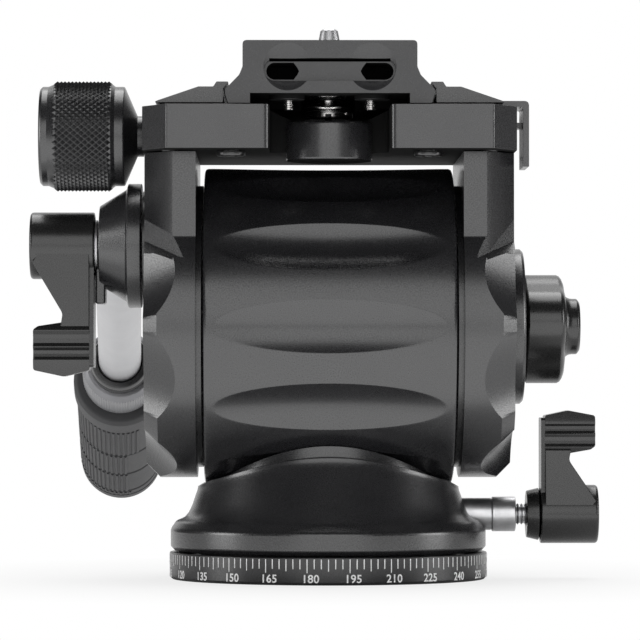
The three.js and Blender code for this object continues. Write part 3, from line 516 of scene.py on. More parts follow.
def moulded(name, dark, light, roughness, grain=0.35, depth=0.02, specular=0.4):
    """Moulded rubber or plastic: a leathery grain and a broad, dull sheen."""
    made = Finish(name)
    clouds = made.noise(9.0, 3.0)
    pores = made.noise(grain, 3.0, rough=0.6)
    made.set("Specular IOR Level", specular)
    return made.coated(made.ranged(clouds, 0, 1), dark, light, pores, (roughness - 0.06, roughness + 0.06),
                       (pores, depth), (clouds, 0.01))


def printed(name, colour):
    """Screen-printed ink: nearly flat, a little thin in places."""
    made = Finish(name)
    thin = made.noise(0.25, 2.0)
    return made.coated(made.ranged(thin, 0, 1, 0.25, 0.5), [c * 0.8 for c in colour], colour, thin,
                       (0.5, 0.62), (thin, 0.003))


ANODISED = blasted("satin black anodising", (0.010, 0.010, 0.011), (0.014, 0.014, 0.015), 0.27,
                   specular=0.75)
DRUM_BLACK = blasted("drum black anodising", (0.008, 0.008, 0.009), (0.011, 0.011, 0.012), 0.25, grain=0.2,
                     specular=0.75)
RING_BLACK = blasted("ring black anodising", (0.009, 0.009, 0.010), (0.012, 0.012, 0.013), 0.3, specular=0.6)
PLATE_GREY = blasted("plate grey anodising", (0.010, 0.010, 0.011), (0.015, 0.015, 0.016), 0.32,
                     specular=0.6)
LEVER_BLACK = blasted("lever black coat", (0.008, 0.008, 0.008), (0.011, 0.011, 0.011), 0.26, depth=0.001,
                      specular=0.55)
BLACKED = blasted("blacked steel", (0.008, 0.008, 0.009), (0.013, 0.013, 0.013), 0.3, specular=0.7)
BRIGHT_STEEL = lathe_turned("polished steel", (0.62, 0.61, 0.60), 0.2, "z")
SLEEVE_STEEL = lathe_turned("satin steel", (0.56, 0.56, 0.57), 0.36, "x", 0.2, 0.0001)
TUBE_SILVER = blasted("satin silver tube", (0.48, 0.48, 0.49), (0.52, 0.52, 0.53), 0.4, 0.9, 0.12, 0.001)
# Painted shade: a near-black, dull material put on undersides and deep pockets in place of the shade that
# falls there; those faces are the same anodising as the rest.
PAINTED_SHADE_BLACK = blasted("painted recess shade", (0.004, 0.004, 0.004), (0.006, 0.006, 0.006), 0.8, specular=0.1)
PIN_STEEL = blasted("satin pin steel", (0.46, 0.46, 0.47), (0.54, 0.54, 0.55), 0.4, 0.9, 0.1, 0.001)
COLLAR_SILVER = blasted("silver collar", (0.22, 0.22, 0.23), (0.27, 0.27, 0.28), 0.42, 0.8, 0.12)
GRIP_RUBBER = moulded("grip rubber", (0.032, 0.032, 0.034), (0.042, 0.042, 0.044), 0.62)
CAP_PLASTIC = moulded("end cap plastic", (0.028, 0.028, 0.03), (0.036, 0.036, 0.038), 0.55, 0.25, 0.012)
BRONZE = lathe_turned("bearing bronze", (0.45, 0.3, 0.14), 0.4, "x")
NYLON = moulded("nylon", (0.62, 0.6, 0.53), (0.7, 0.68, 0.6), 0.5, 0.5, 0.01)
PRINT = printed("white print", (0.93, 0.93, 0.93))


# Base ring with its degree marks

ring = Sizes(skin=0.06, drop=0.3, root=0.3, width=0.17)
tick = Sizes(count=144, short=1.75, medium=2.15, long=2.45, seam=6.9)
RING = ring_high.x - ring.skin
ink = Sizes(size=2.05, height=1.4, gap=0.35, thick=0.03, weight=0.035, space=1.05, lift=0.01)
NUMBER_STEP = 15  # degrees from one number to the next


def base_ring():
    inner = middle("base_plate").x + span("base_plate")[1].x + 0.3
    top = ring_high.z
    return turned("ring", [(inner, 0), (RING - 0.5, 0), (RING, 0.5), (RING, top - 0.12), (RING - 0.12, top),
                           (inner, top)], "z", around=FINE, edge=0.12)


def mark(start, end):
    """One mark between two depths below the ring's top, ready to be turned round the ring."""
    high = ring_high.z - ring.drop
    half = ring.width / 2
    face = RING + 0.03
    return block((-half, -face, high - end), (half, ring.root - RING, high - start))


def base_marks():
    """Short marks all round, made medium at each third one and long at each sixth."""
    pitch = 360 / tick.count
    stops = [0, tick.short, tick.medium, tick.long]
    parts = []
    for every, start, end in zip((1, 3, 6), stops, stops[1:]):
        parts.append(repeated(mark(start, end), tick.count // every, pitch * every, "z", PRINT,
                              start=tick.seam))
    return gathered(*parts)


def numeral(text, angle):
    """A printed number, wrapped on the ring with its middle at an angle from the front."""
    curve = bpy.data.curves.new("numeral", "FONT")
    curve.body = text
    curve.size = ink.size
    curve.align_x = "CENTER"
    curve.extrude = ink.thick
    curve.offset = ink.weight
    curve.space_character = ink.space
    words = new_object("numeral", curve)
    graph = bpy.context.evaluated_depsgraph_get()
    mesh = bpy.data.meshes.new_from_object(words.evaluated_get(graph))
    bpy.data.objects.remove(words)
    low = ring_high.z - ring.drop - tick.long - ink.gap - ink.height
    for vertex in mesh.vertices:
        x, y, depth = vertex.co
        around = math.radians(angle) + x / RING
        radius = RING + ink.lift + depth
        vertex.co = (radius * math.sin(around), -radius * math.cos(around), low + y)
    return new_object("numeral", mesh)


def base_numerals():
    numbers = range(0, 360, NUMBER_STEP)
    return gathered(*[numeral(str(number), number - 180 - tick.seam) for number in numbers])


# Pan housing: band, flare, and the arch that carries the drum

bell = Sizes(
    band=29.45, band_low=5.3, band_high=9.3, saddle=29.75, bore=14.5, web_low=8.4,
    web_high=14.6, recess=26.3, shaft=10.3, wall_rise=2.0, shoulder_rise=1.5, shoulder=2.6,
    cone=27.6, cone_low=11.3, cone_slope=0.505, side_share=0.42,
)
FLARE = [(28.4, 10.8), (26.9, 11.4), (26.1, 12.3), (25.4, 13.8), (24.8, 15.6), (24.2, 17.4), (23.4, 19.6),
         (22.4, 21.8), (21.2, 24.0), (19.6, 26.4)]
HALVINGS = 30  # how often the search for the saddle's height halves its range
FLARE_STEPS = 12  # points up the flare
SADDLE_STEPS = 6  # points across the saddle, from the shoulder to the bore


def flare_radius(height, facing):
    """The flare's hollow profile at the sides, which turns into a plain cone at the front and back."""
    cone = bell.cone - bell.cone_slope * (height - bell.cone_low)
    side = FLARE[-1][0]
    for (r0, z0), (r1, z1) in zip(FLARE, FLARE[1:]):
        if height <= z1:
            side = r0 + (r1 - r0) * (height - z0) / (z1 - z0)
            break
    return side + (cone - side) * facing


def saddle_height(radius, turn):
    across = min(abs(radius * math.sin(turn)), bell.saddle)
    return TILT.z - math.sqrt(bell.saddle ** 2 - across ** 2)


def bell_section(turn):
    """The housing's section at one turn about the pan axis: each has the same number of points."""
    facing = max(0.0, (abs(math.sin(turn)) - bell.side_share) / (1 - bell.side_share))
    wall = bell.wall_rise * facing ** 0.8 + 0.1
    drop = wall + bell.shoulder_rise
    low, high = FLARE[0][1] + drop, FLARE[-1][1]
    for _ in range(HALVINGS):
        mid = (low + high) / 2
        if mid < saddle_height(flare_radius(mid - drop, facing) - bell.shoulder, turn):
            low = mid
        else:
            high = mid
    foot_z = low - drop
    foot_r = flare_radius(foot_z, facing)
    top_r = foot_r - bell.shoulder
    ridge_z = low - wall
    outside = [(bell.band - 0.75, bell.band_low, 0.15), (bell.band, bell.band_low + 0.8, 0.2),
               (bell.band, bell.band_high, 0.5)]
    rise = foot_z - FLARE[0][1] - 1.0
    for k in range(FLARE_STEPS + 1):
        z = FLARE[0][1] + rise * k / FLARE_STEPS
        outside.append((flare_radius(z, facing), z, 0.0 if k else 0.5))
    shoulder = [(foot_r, foot_z, 1.0), (foot_r - 0.3, foot_z + 0.8, 0.5), (foot_r - 0.4, ridge_z, 0.12),
                (top_r + 0.3, ridge_z + 0.1, 0.05), (top_r, low, 0.1)]
    inside = []
    for k in range(1, SADDLE_STEPS + 1):
        r = top_r + (bell.bore - top_r) * k / SADDLE_STEPS
        inside.append((r, saddle_height(r, turn), 0.0))
    inside += [(bell.bore, bell.web_high, 0.0), (bell.shaft, bell.web_high, 0.0),
               (bell.shaft, bell.web_low, 0.0), (bell.recess, bell.web_low, 0.0),
               (bell.recess, bell.band_low, 0.0)]
    return outside + shoulder + inside


def fixed_corners(points, steps=4):
    """Corners with a third number above nought get the same count of arc points on every section."""
    outline = []
    for i, (r, z, size) in enumerate(points):
        here = Vector((r, z))
        if size:
            back = Vector(points[i - 1][:2]) - here
            ahead = Vector(points[(i + 1) % len(points)][:2]) - here
            outline += corner_arc(here, back, ahead, size, steps)
        else:
            outline.append(here)
    return outline


def pan_housing():
    turns = turns_of(FINE)
    sections = [fixed_corners(bell_section(turn)) for turn in turns]
    rows = []
    for row in zip(*sections):
        rows.append([(r * math.cos(a), r * math.sin(a), z) for a, (r, z) in zip(turns, row)])
    return ringed("housing", rows, closed=True)


# Drum with its twelve flutes

flute = Sizes(count=12, half=21.2, across=4.9, depth=1.62, lip=0.035)
drum = Sizes(edge=0.6, inner=drum_high.x, bore=25.5, side=36, end=28, fade=4, turn=0.9)
# where the flute's rings of points lie, from its middle to just past its rim
FLUTE_SHARES = [0.0, 0.12, 0.24, 0.36, 0.47, 0.57, 0.66, 0.74, 0.81, 0.87, 0.915, 0.945, 0.965, 0.98, 0.99,
                1.0, 1.01, 1.02, 1.035, 1.06]


def flute_depth(share):
    """How deep the surface lies at a share of the way from the flute's middle to its rim."""
    fall = flute.depth * (1 - share ** 2)
    return (fall + math.sqrt(fall ** 2 + flute.lip ** 2)) / 2


def drum_cell():
    """A twelfth of the drum, with the flute in its middle, about an axis through the origin."""
    half = drum.inner - drum.edge
    reach = DRUM * math.pi / flute.count
    border = []
    for k in range(drum.end):
        border.append((half, -reach + 2 * reach * k / drum.end))
    for k in range(drum.side):
        border.append((half - 2 * half * k / drum.side, reach))
    border += [(-x, -y) for x, y in border]
    points = []
    rings = []

    def lay(x, around):
        angle = around[0] / DRUM
        radius = DRUM - around[1]
        points.append((x, -radius * math.cos(angle), radius * math.sin(angle)))
        return len(points) - 1

    turns = [math.atan2(y / reach, x / half) for x, y in border]
    for share in FLUTE_SHARES:
        if share == 0:
            rings.append([lay(0, (0, flute_depth(0)))])
            continue
        ring_points = []
        for turn in turns:
            x = flute.half * share * math.cos(turn)
            y = flute.across * share * math.sin(turn)
            ring_points.append(lay(x, (y, flute_depth(share))))
        rings.append(ring_points)
    outer = FLUTE_SHARES[-1]
    for k in range(1, drum.fade + 1):
        t = k / drum.fade
        ring_points = []
        for turn, (x, y) in zip(turns, border):
            x0 = flute.half * outer * math.cos(turn)
            y0 = flute.across * outer * math.sin(turn)
            fade = flute_depth(outer) * (1 - t) ** 2
            ring_points.append(lay(x0 + (x - x0) * t, (y0 + (y - y0) * t, fade)))
        rings.append(ring_points)
    faces = ring_faces(rings, len(border))
    for side in (1, -1):
        faces += end_strip(side, half, reach, points)
    return solid("drum cell", points, faces)


def end_strip(side, half, reach, points):
    """The broken edge, the end face and the bore behind one short side of the drum's cell."""
    edge = drum.edge
    end = drum.inner
    profile = [(half, DRUM), (end - edge * 0.3, DRUM - edge * 0.3), (end, DRUM - edge), (end, drum.bore),
               (0, drum.bore)]
    columns = []
    for k in range(drum.end + 1):
        a = (-reach + 2 * reach * k / drum.end) / DRUM
        column = []
        for x, radius in profile:
            points.append((side * x, -radius * math.cos(a), radius * math.sin(a)))
            column.append(len(points) - 1)
        columns.append(column)
    faces = []
    for a, b in zip(columns, columns[1:]):
        faces += [(a[k], b[k], b[k + 1], a[k + 1]) for k in range(len(profile) - 1)]
    return faces


def drum_shell():
    shell = repeated(drum_cell(), flute.count, 360 / flute.count, "x", DRUM_BLACK, start=drum.turn,
                     weld=0.002)
    return moved(shell, Matrix.Translation(TILT))


# Cheeks

cheek = Sizes(
    disc=cheek_high.y, inner=cheek_high.x - 9.5, outer=cheek_high.x, top=cheek_high.z,
    arm=23.0, rim=2.6, scallop=21.0, bevel=5.3, bevel_back=6.5, arm_low=TILT.z + 13.0,
    boss=26.3, boss_bore=12.3, bore=2.9, bore_depth=5.0, pocket=10.5, pocket_depth=1.2,
)
# how high above the tilt axis the arm bevel's floor lies: at its back, its inner corner and its outer one
BEVEL_RISES = [15.4, 12.9, 12.1]
# each scallop's degrees above the level, and how deep it goes below the rim's chamfer
SCALLOPS = [(20, 2.3), (-21, 2.3), (-66, 2.3)]


def cheek_blank():
    disc = cheek.disc
    lift = math.degrees(math.acos(cheek.arm / disc))
    rim = arc((0, TILT.z), disc, 180 - lift, 360 + lift, FINE * 2 // 3)
    outline = [(cheek.arm, cheek.top), (-cheek.arm, cheek.top), *rim]
    return drawn("cheek", outline, cheek.inner, cheek.outer, "x")


def rim_keeper():
    """What the rim's chamfer leaves: a cone round the disc, and the whole arm above it."""
    disc = cheek.disc
    outer = cheek.outer
    start = cheek.inner - PAST
    cone = turned("cone", [(0, start), (disc + 0.05, start), (disc + 0.05, outer - cheek.rim),
                           (disc - cheek.rim, outer), (0, outer)], "x", TILT, FINE, 0)
    half = cheek.arm + PAST
    arm = block((start, -half, cheek.arm_low), (outer, half, cheek.top + PAST))
    return join(cone, arm)


def rim_scallop(turn, depth):
    """A shallow hollow lying across the rim at 45 degrees, turned about the tilt axis."""
    radius = cheek.scallop
    out = (radius - depth) * math.sqrt(0.5)
    shift = (cheek.outer - cheek.rim / 2 + out, cheek.disc - cheek.rim / 2 + out, 0)
    bar = rod(radius, -cheek.disc, cheek.disc, "y", around=ROUND * 2)
    for way in (Matrix.Rotation(math.radians(45), 4, "Z"), Matrix.Translation(shift),
                Matrix.Rotation(math.radians(turn), 4, "X"), Matrix.Translation(TILT)):
        bar = moved(bar, way)
    room = cheek.disc * 3
    return common(bar, block((-room, -room, TILT.z - room), (room, room, cheek.arm_low)))


def arm_bevel(side):
    """The tall bevel at the arm's front or back, whose floor slopes down to the rim."""
    outer = cheek.outer
    inner = outer - cheek.bevel
    front = -cheek.arm
    back = front + cheek.bevel_back
    reach = cheek.bevel_back / cheek.bevel * PAST
    corners = [(outer, back), (inner, front), (outer, front)]
    first, second, third = [Vector((x, y, rise)) for (x, y), rise in zip(corners, BEVEL_RISES)]
    normal = (second - first).cross(third - first)

    def floor(x, y):
        return TILT.z + first.z - (normal.x * (x - first.x) + normal.y * (y - first.y)) / normal.z

    plan = [(inner - PAST, front - reach), (outer + PAST, front - reach), (outer + PAST, back + reach),
            (outer, back), (inner, front)]
    return prism("bevel", [(x, -side * y, floor(x, y)) for x, y in plan],
                 [(x, -side * y, cheek.top + PAST) for x, y in plan])


def cheek_solid():
    body = common(cheek_blank(), rim_keeper())
    for turn, depth in SCALLOPS:
        body = cut(body, rim_scallop(turn, depth), rim_scallop(180 - turn, depth))
    body = cut(body, arm_bevel(-1), arm_bevel(1))
    body = broken(body, 0.22, 14)
    low = drum.inner + SEAT
    root = cheek.inner + 0.3
    boss = turned("boss", [(cheek.boss_bore, low), (cheek.boss, low), (cheek.boss, root),
                           (cheek.boss_bore, root)], "x", TILT, FINE, 0.1)
    return gathered(body, boss)


def side_disc():
    low, high = span("side_disc")
    radius = high.z - TILT.z
    return turned("disc", [(0, low.x), (radius, low.x), (radius, high.x - 0.5), (radius - 0.5, high.x),
                           (0, high.x)], "x", TILT, FINE, 0.15)


def rosette():
    """The face that the handle's hub is clamped against."""
    low, high = span("handle_rosette")
    bore = 2.9
    face = high.x - 0.2
    return turned("rosette", [(bore, low.x), (high.y, low.x), (high.y, face), (bore, face)], "x",
                  (0, 0, HANDLE), ROUND, 0.1)


# Deck

deck = Sizes(
    half=deck_high.x, depth=deck_high.y, low=cheek.top + SEAT, top=deck_high.z,
    corner_x=4.6, corner_y=7.0, mouth=10.95, mouth_back=14.0, mouth_corner=1.5,
    boss=7.9, boss_y=-14.1, boss_drop=2.6, bridge=6.3,
    channel=11.3, channel_floor=6.6, channel_depth=2.3, channel_end=20.0,
)


def deck_plan():
    x = deck.half
    y = deck.depth
    cx = deck.corner_x
    cy = deck.corner_y
    m = deck.mouth
    right = [(m, deck.mouth_back - y, 1.2), (m, -y, deck.mouth_corner), (x - cx, -y, 0.5),
             (x, cy - y, 0.5), (x, y - cy, 0.5), (x - cx, y, 0.5)]
    return rounded(right + mirrored(right), 0.3, 5, closed=True)


def deck_body():
    slab = drawn("deck", deck_plan(), deck.low, deck.top, "z")
    floor = deck.top - deck.channel_depth
    right = [(deck.channel_floor, floor), (deck.channel, deck.top),
             (deck.channel + PAST * 1.9, deck.top + PAST)]
    channel = drawn("channel", right + mirrored(right), -deck.depth - PAST, deck.channel_end, "y")
    slab = cut(slab, channel, *[screw_seat(side, end) for side in (-1, 1) for end in (-1, 1)])
    slab = broken(slab, 0.28, 24)
    low = deck_low.z
    top = deck.top - deck.boss_drop
    boss = turned("boss", [(0, low), (deck.boss, low, 0.5), (deck.boss, top, 0.7), (0, top)], "z",
                  (0, deck.boss_y, 0), ROUND, 0.3, 4)
    half = deck.bridge
    bridge = block((-half, deck.boss_y, deck.low + 0.3),
                   (half, deck.mouth_back - deck.depth + 0.6, top - 0.3))
    return gathered(slab, boss, broken(bridge, 0.2))


def deck_recess(place, normal):
    """Painted shade on the deck's underside and on the walls of its mouth behind the boss."""
    off_boss = math.hypot(place.x, place.y - deck.boss_y) > deck.boss + 0.4
    back = deck.mouth_back - deck.depth + 0.4
    in_mouth = abs(place.x) < deck.mouth + 0.2 and 0.3 - deck.depth < place.y < back
    back_wall = normal.y < -0.9 and abs(place.y - back) < 1.0
    return normal.z < -0.6 or (in_mouth and abs(normal.z) < 0.5 and (off_boss or back_wall))


SCREW = Sizes(x=middle("deck_screw_front_right").x, y=span("deck_screw_front_right")[0].y + 2.6,
              head=2.55, height=1.95, key=1.35, sunk=0.25, seat=2.9, seat_depth=2.5)


def screw_seat(side, end):
    centre = (side * SCREW.x, end * SCREW.y, 0)
    return rod(SCREW.seat, deck.top - SCREW.seat_depth, deck.top + PAST, "z", centre)


def socket_screw(centre, head, top, height, key, shank=1.5, reach=6.0):
    """A socket head screw standing on its seat, with its hexagon hole."""
    x, y = centre
    low = top - height
    body = turned("screw", [(0, low - reach), (shank, low - reach), (shank, low), (head, low),
                            (head, top, 0.35), (0, top)], "z", (x, y, 0), SMALL, 0.12)
    hexagon = [(x + key * math.cos(a), y + key * math.sin(a)) for a in (k * math.pi / 3 for k in range(6))]
    hole = drawn("key hole", hexagon, top - height * 0.65, top + PAST, "z")
    return cut(body, hole)


def deck_screws():
    names = {(1, -1): "front_right", (1, 1): "back_right", (-1, -1): "front_left", (-1, 1): "back_left"}
    for (side, end), name in names.items():
        centre = (side * SCREW.x, end * SCREW.y)
        screw = socket_screw(centre, SCREW.head, deck.top - SCREW.sunk, SCREW.height, SCREW.key)
        piece_of(screw, "deck_screw_head_" + name, "tilt_cage", BLACKED, "dark_metal", "deck_screw_" + name)
    for name in ("right", "left"):
        node = "under_screw_" + name
        low, high = span(node)
        seat = low.z + 0.9
        face = low.z + 0.1
        profile = [(0, high.z), (1.5, high.z), (1.5, seat), (2.6, seat), (2.6, face, 0.3), (1.2, face),
                   (1.2, low.z + 0.6), (0, low.z + 0.6)]
        head = upright("under screw", node, profile, edge=0.1)
        piece_of(head, "under_screw_head_" + name, "tilt_cage", BLACKED, "dark_metal", node)


# Clamp jaws

jaw = Sizes(half=23.0, foot=32.4, crest=23.9, step=21.2, rise=2.9, lip=3.8, inner=19.4,
            tongue=30.0, tongue_half=17.0, tongue_width=4.0)


def jaw_bar(foot):
    """One jaw's bar: a sloped back, a flat crest, and the lip that holds the plate's dovetail."""
    z = plate_low.z + 0.7
    outline = [(jaw.inner, z, 0.2), (foot, z, 0.2), (jaw.crest, z + jaw.rise, 0.5),
               (jaw.step, z + jaw.rise, 0.2), (jaw.step - 0.6, z + jaw.lip, 0.15),
               (jaw.inner - 1.05, z + jaw.lip, 0.15), (jaw.inner, z + 2.5, 0.15)]
    return drawn("jaw", rounded(outline, 0.2, 3, closed=True), -jaw.half, jaw.half, "y")


def fixed_jaw():
    bar = jaw_bar(jaw.foot)
    tab_low, tab_high = span("release_tab")
    notch = block((tab_low.x - 0.4, tab_low.y - 0.3, deck.top),
                  (jaw.foot + PAST, tab_high.y + 0.3, plate_high.z))
    return broken(cut(bar, notch), 0.18)


def moving_jaw():
    return broken(flipped(jaw_bar(jaw.foot)), 0.18)


def jaw_tongue():
    """The moving jaw's foot, which slides on the guide pins."""
    far = -jaw.tongue
    half = jaw.tongue_half
    low = span("moving_jaw")[0].z
    return broken(block((far, -half, low), (far + jaw.tongue_width, half, plate_low.z + 1.0)), 0.2)


# Clamp knob with its diamond knurl

clamp = Sizes(rim=9.3, root=9.85, peak=10.3, neck=3.8, pitch=0.685, round=54, rows=15,
              first_row=3.25, hollow=2.4, hollow_depth=3.0)


def clamp_body():
    low, high = span("clamp_knob")
    end = low.x
    start = high.x
    rim = clamp.rim
    root = clamp.root
    profile = [(0, end), (rim - 0.5, end, 0.35), (rim, end + 0.5, 0.3), (rim, end + 1.55, 0.15),
               (root, end + 2.85, 0.15), (root, end + 13.4, 0.15), (rim, end + 14.1, 0.15),
               (rim, start - 3.6, 0.35), (clamp.neck, start - 1.2, 0.15), (clamp.neck, start, 0.15),
               (2.9, start, 0.1), (2.9, start - 3.0, 0), (0, start - 3.0)]
    body = turned("clamp knob", profile, "x", (0, 0, KNOB), FINE, 0.15)
    return cut(body, rod(clamp.hollow, end - PAST, end + clamp.hollow_depth, "x", (0, 0, KNOB)))


def knurl_tooth(x, half_x, half_round, root, peak):
    """A closed four-sided point, rooted a little below the body's surface."""
    base = root - SINK
    points = [(x - half_x, 0, base), (x, -half_round, base), (x + half_x, 0, base), (x, half_round, base),
              (x, 0, peak)]
    faces = [(0, 1, 4), (1, 2, 4), (2, 3, 4), (3, 0, 4), (0, 3, 2, 1)]
    return solid("tooth", points, faces)


def clamp_knurl():
    count = clamp.round
    pitch = clamp.pitch
    half_round = math.pi * clamp.root / count
    start = span("clamp_knob")[0].x + clamp.first_row
    tooth = knurl_tooth(start, pitch, half_round, clamp.root, clamp.peak + 0.02)
    grip = repeated(tooth, count, 360 / count, "x", ANODISED, clamp.rows, 180 / count, pitch, weld=0)
    return moved(grip, Matrix.Translation((0, 0, KNOB)))


# Quick plate

plate = Sizes(
    half=19.0, foot=18.5, neck=15.85, foot_rise=1.7, land=0.8, slope=3.5,
    front=plate_low.y, back=plate_high.y, low=plate_low.z + 0.4, top=plate_high.z,
    window=12.0, window_low=91.2, window_high=95.3, window_depth=1.5,
    pocket_depth=11.0, slit=11.0, slit_depth=6.0,
    channel=14.5, channel_top=plate_low.z + 2.2, channel_back=plate_low.y + 17.0,
    dish=10.0, dish_out=9.0, dish_x=7.7, dish_z=93.8,
    slot=3.4, relief=5.2, slot_front=-8.0, slot_back=14.0, relief_wider=0.3, relief_high=3.3,
    pin_bore=2.5, pin_depth=3.0, boss=3.25, boss_x=7.8, boss_drop=0.95,
    mouth=6.4, mouth_start=7.0, mouth_end=22.0,
)


def plate_outline():
    low = plate.low
    top = plate.top
    bend = low + plate.foot_rise + plate.land
    right = [(plate.foot, low, 0.2), (plate.half, low + plate.foot_rise, 0.25),
             (plate.half, bend, 0.3), (plate.neck + 0.6, bend + plate.slope - 0.9, 1.6),
             (plate.neck, bend + plate.slope + 0.6, 1.2), (plate.neck, top, 0.8)]
    return rounded(right + mirrored(right), 0.3, 5, closed=True)


def slot_outline(half, low, high, steps=16):
    r = (high - low) / 2
    mid = low + r
    return arc((half - r, mid), r, -90, 90, steps) + arc((r - half, mid), r, 90, 270, steps)


def ball(radius, centre):
    turns = [math.pi * k / SMALL for k in range(SMALL + 1)]
    profile = [(radius * math.sin(a), -radius * math.cos(a)) for a in turns]
    return turned("ball", profile, "y", centre, ROUND, 0)


def plate_body():
    front = plate.front
    bottom = plate.low
    under = bottom - PAST
    top = plate.top
    low = plate.window_low
    high = plate.window_high
    ceiling = plate.channel_top
    bar = drawn("plate", plate_outline(), front, plate.back, "y")
    dish_y = front - plate.dish_out
    dishes = [ball(plate.dish, (side * plate.dish_x, dish_y, plate.dish_z)) for side in (-1, 1)]
    window = drawn("window", slot_outline(plate.window, low, high), front - PAST,
                   front + plate.window_depth, "y")
    pocket = drawn("pocket", pocket_outline(low + 0.3, high - 0.7), front - PAST,
                   front + plate.pocket_depth, "y")
    slit = block((-plate.slit, front - PAST, high - 0.5),
                 (plate.slit, front + plate.slit_depth, high + 0.02))
    channel = block((-plate.channel, front - PAST, under), (plate.channel, plate.channel_back, ceiling))
    bar = cut(bar, *dishes, window, twin(pocket, "pocket twin"), pocket, slit, channel)
    wider = plate.relief_wider
    relief_top = bottom + plate.relief_high
    slot = drawn("slot", slot_plan(plate.slot, plate.slot_front, plate.slot_back), under, top + PAST, "z")
    relief = drawn("relief", slot_plan(plate.relief, plate.slot_front - wider, plate.slot_back + wider),
                   under, relief_top, "z")
    pin_hole = rod(plate.pin_bore, top - plate.pin_depth, top + PAST, "z",
                   (0, middle("alignment_pin").y, 0))
    half = plate.mouth
    front_relief = block((-half, front + plate.mouth_start, under),
                         (half, front + plate.mouth_end, relief_top))
    bar = broken(cut(bar, slot, pin_hole, relief, front_relief), 0.16, 24)
    r = plate.boss
    profile = [(0, ceiling + 0.3), (r, ceiling + 0.3), (r, ceiling - plate.boss_drop, 0.2),
               (0, ceiling - plate.boss_drop)]
    stop_y = middle("plate_stop_right").y
    bosses = [turned("boss", profile, "z", (side * plate.boss_x, stop_y, 0), SMALL, 0.2) for side in (-1, 1)]
    return gathered(bar, *bosses)


def plate_recess(place, normal):
    """Painted shade on the plate's underside, its channel's walls and the deep pockets behind the window."""
    front = plate.front
    inside = abs(place.x) < plate.window and plate.window_low < place.z < plate.window_high + 0.2
    deep = front + 2.2 < place.y < front + 12.0
    wall = abs(place.x) < plate.channel + 0.2 and place.y > front + 0.5 and abs(normal.z) < 0.5
    return normal.z < -0.8 or (wall and place.z < plate.channel_top + 0.1) or (inside and deep)


def pocket_outline(low, high):
    """The deep pocket at the window's right end: flat towards the middle, round at the far side."""
    r = (high - low) / 2
    inner = [(5.9, low + 0.9), (5.6, low + r), (5.9, high - 0.9), (6.6, high)]
    return [(6.6, low)] + arc((plate.window - 0.45 - r, low + r), r, -90, 90, 16) + inner[::-1]


def slot_plan(half, front, back):
    return arc((0, back - half), half, 0, 180, 24) + arc((0, front + half), half, 180, 360, 24)


def stop_screw(side):
    """The threaded end of a stop screw, under the plate."""
    node = "plate_stop_" + side
    low, high = span(node)
    root = 0.82
    ridges = threaded(low.z, high.z - 0.3, 0.4, [(root, 0), (1.0, 0.12), (1.0, 0.2), (root, 0.32)])
    return upright("stop", node, [(0, low.z), *ridges, (root, high.z), (0, high.z)], 24, 0)


def camera_screw():
    low, high = span("camera_screw")
    y = middle("camera_screw").y
    head = 4.7
    neck = 2.35
    shank = 3.1
    root = shank - 0.42
    z = low.z
    top = high.z
    profile = [(0, z), (head - 0.4, z, 0.2), (head, z + 0.4, 0.2), (head, z + 1.9, 0.2),
               (head - 0.5, z + 2.3, 0.2), (neck, z + 2.3, 0.1), (neck, z + 3.6, 0.1),
               (shank - 0.3, z + 3.6)]
    profile += threaded(z + 4.0, top - 0.8, 0.8, [(root, 0), (shank, 0.3), (root, 0.6)])
    profile += [(shank - 0.5, top - 0.3, 0), (shank - 0.9, top, 0), (0, top)]
    body = upright("camera screw", "camera_screw", profile, ROUND, 0.08)
    return cut(body, block((-0.6, y - head - PAST, z - PAST), (0.6, y + head + PAST, z + 0.9)))


def alignment_pin():
    low, high = span("alignment_pin")
    top = high.z
    face = plate.top
    radius = 2.2
    profile = [(0, low.z), (radius, low.z), (radius, face + 0.3, 0.1), (1.95, face + 0.9, 0.25),
               (1.62, top - 0.35, 0.3), (1.2, top, 0.2), (0, top)]
    return upright("pin", "alignment_pin", profile, SMALL, 0.15, 4)


# Release tab

def release_tab():
    low, high = span("release_tab")
    thick = 1.1
    half = 2.0
    inner = high.x - thick
    outline = [(low.x, high.z - thick, 0.15), (inner, high.z - thick, 0.3), (inner, low.z, 0.15),
               (high.x, low.z, 0.15), (high.x, high.z, 0.9), (low.x, high.z, 0.15)]
    bracket = drawn("tab", rounded(outline, 0.15, 5, closed=True), low.y, high.y, "y")
    pin = middle("tab_pin")
    knuckle = rod(1.5, pin.y - half, pin.y + half, "y", (pin.x, 0, pin.z), 32)
    neck = block((pin.x, pin.y - half, pin.z - thick / 2), (inner + 0.5, pin.y + half, pin.z + thick / 2))
    return broken(join(bracket, knuckle, neck), 0.12)


# Wing levers: hub, web and fluted finger

# the finger's half thickness and the share of the arm where it is reached, from the waist to the tip
FINGER = [(0.78, 0.585), (0.84, 0.60), (0.985, 0.648), (0.90, 0.68), (0.86, 0.71), (0.885, 0.745),
          (0.975, 0.772), (0.93, 0.782), (0.82, 0.80), (0.785, 0.825), (0.82, 0.85), (0.93, 0.872),
          (0.90, 0.90), (0.72, 1.01)]

HANDLE_LEVER = {"length": 12.0, "radius": 6.25, "arm": 24.5, "thick": 10.2, "step": 0.86}
PAN_LEVER = {"length": 10.75, "radius": 5.45, "arm": 19.4, "thick": 8.2, "step": 0.77}


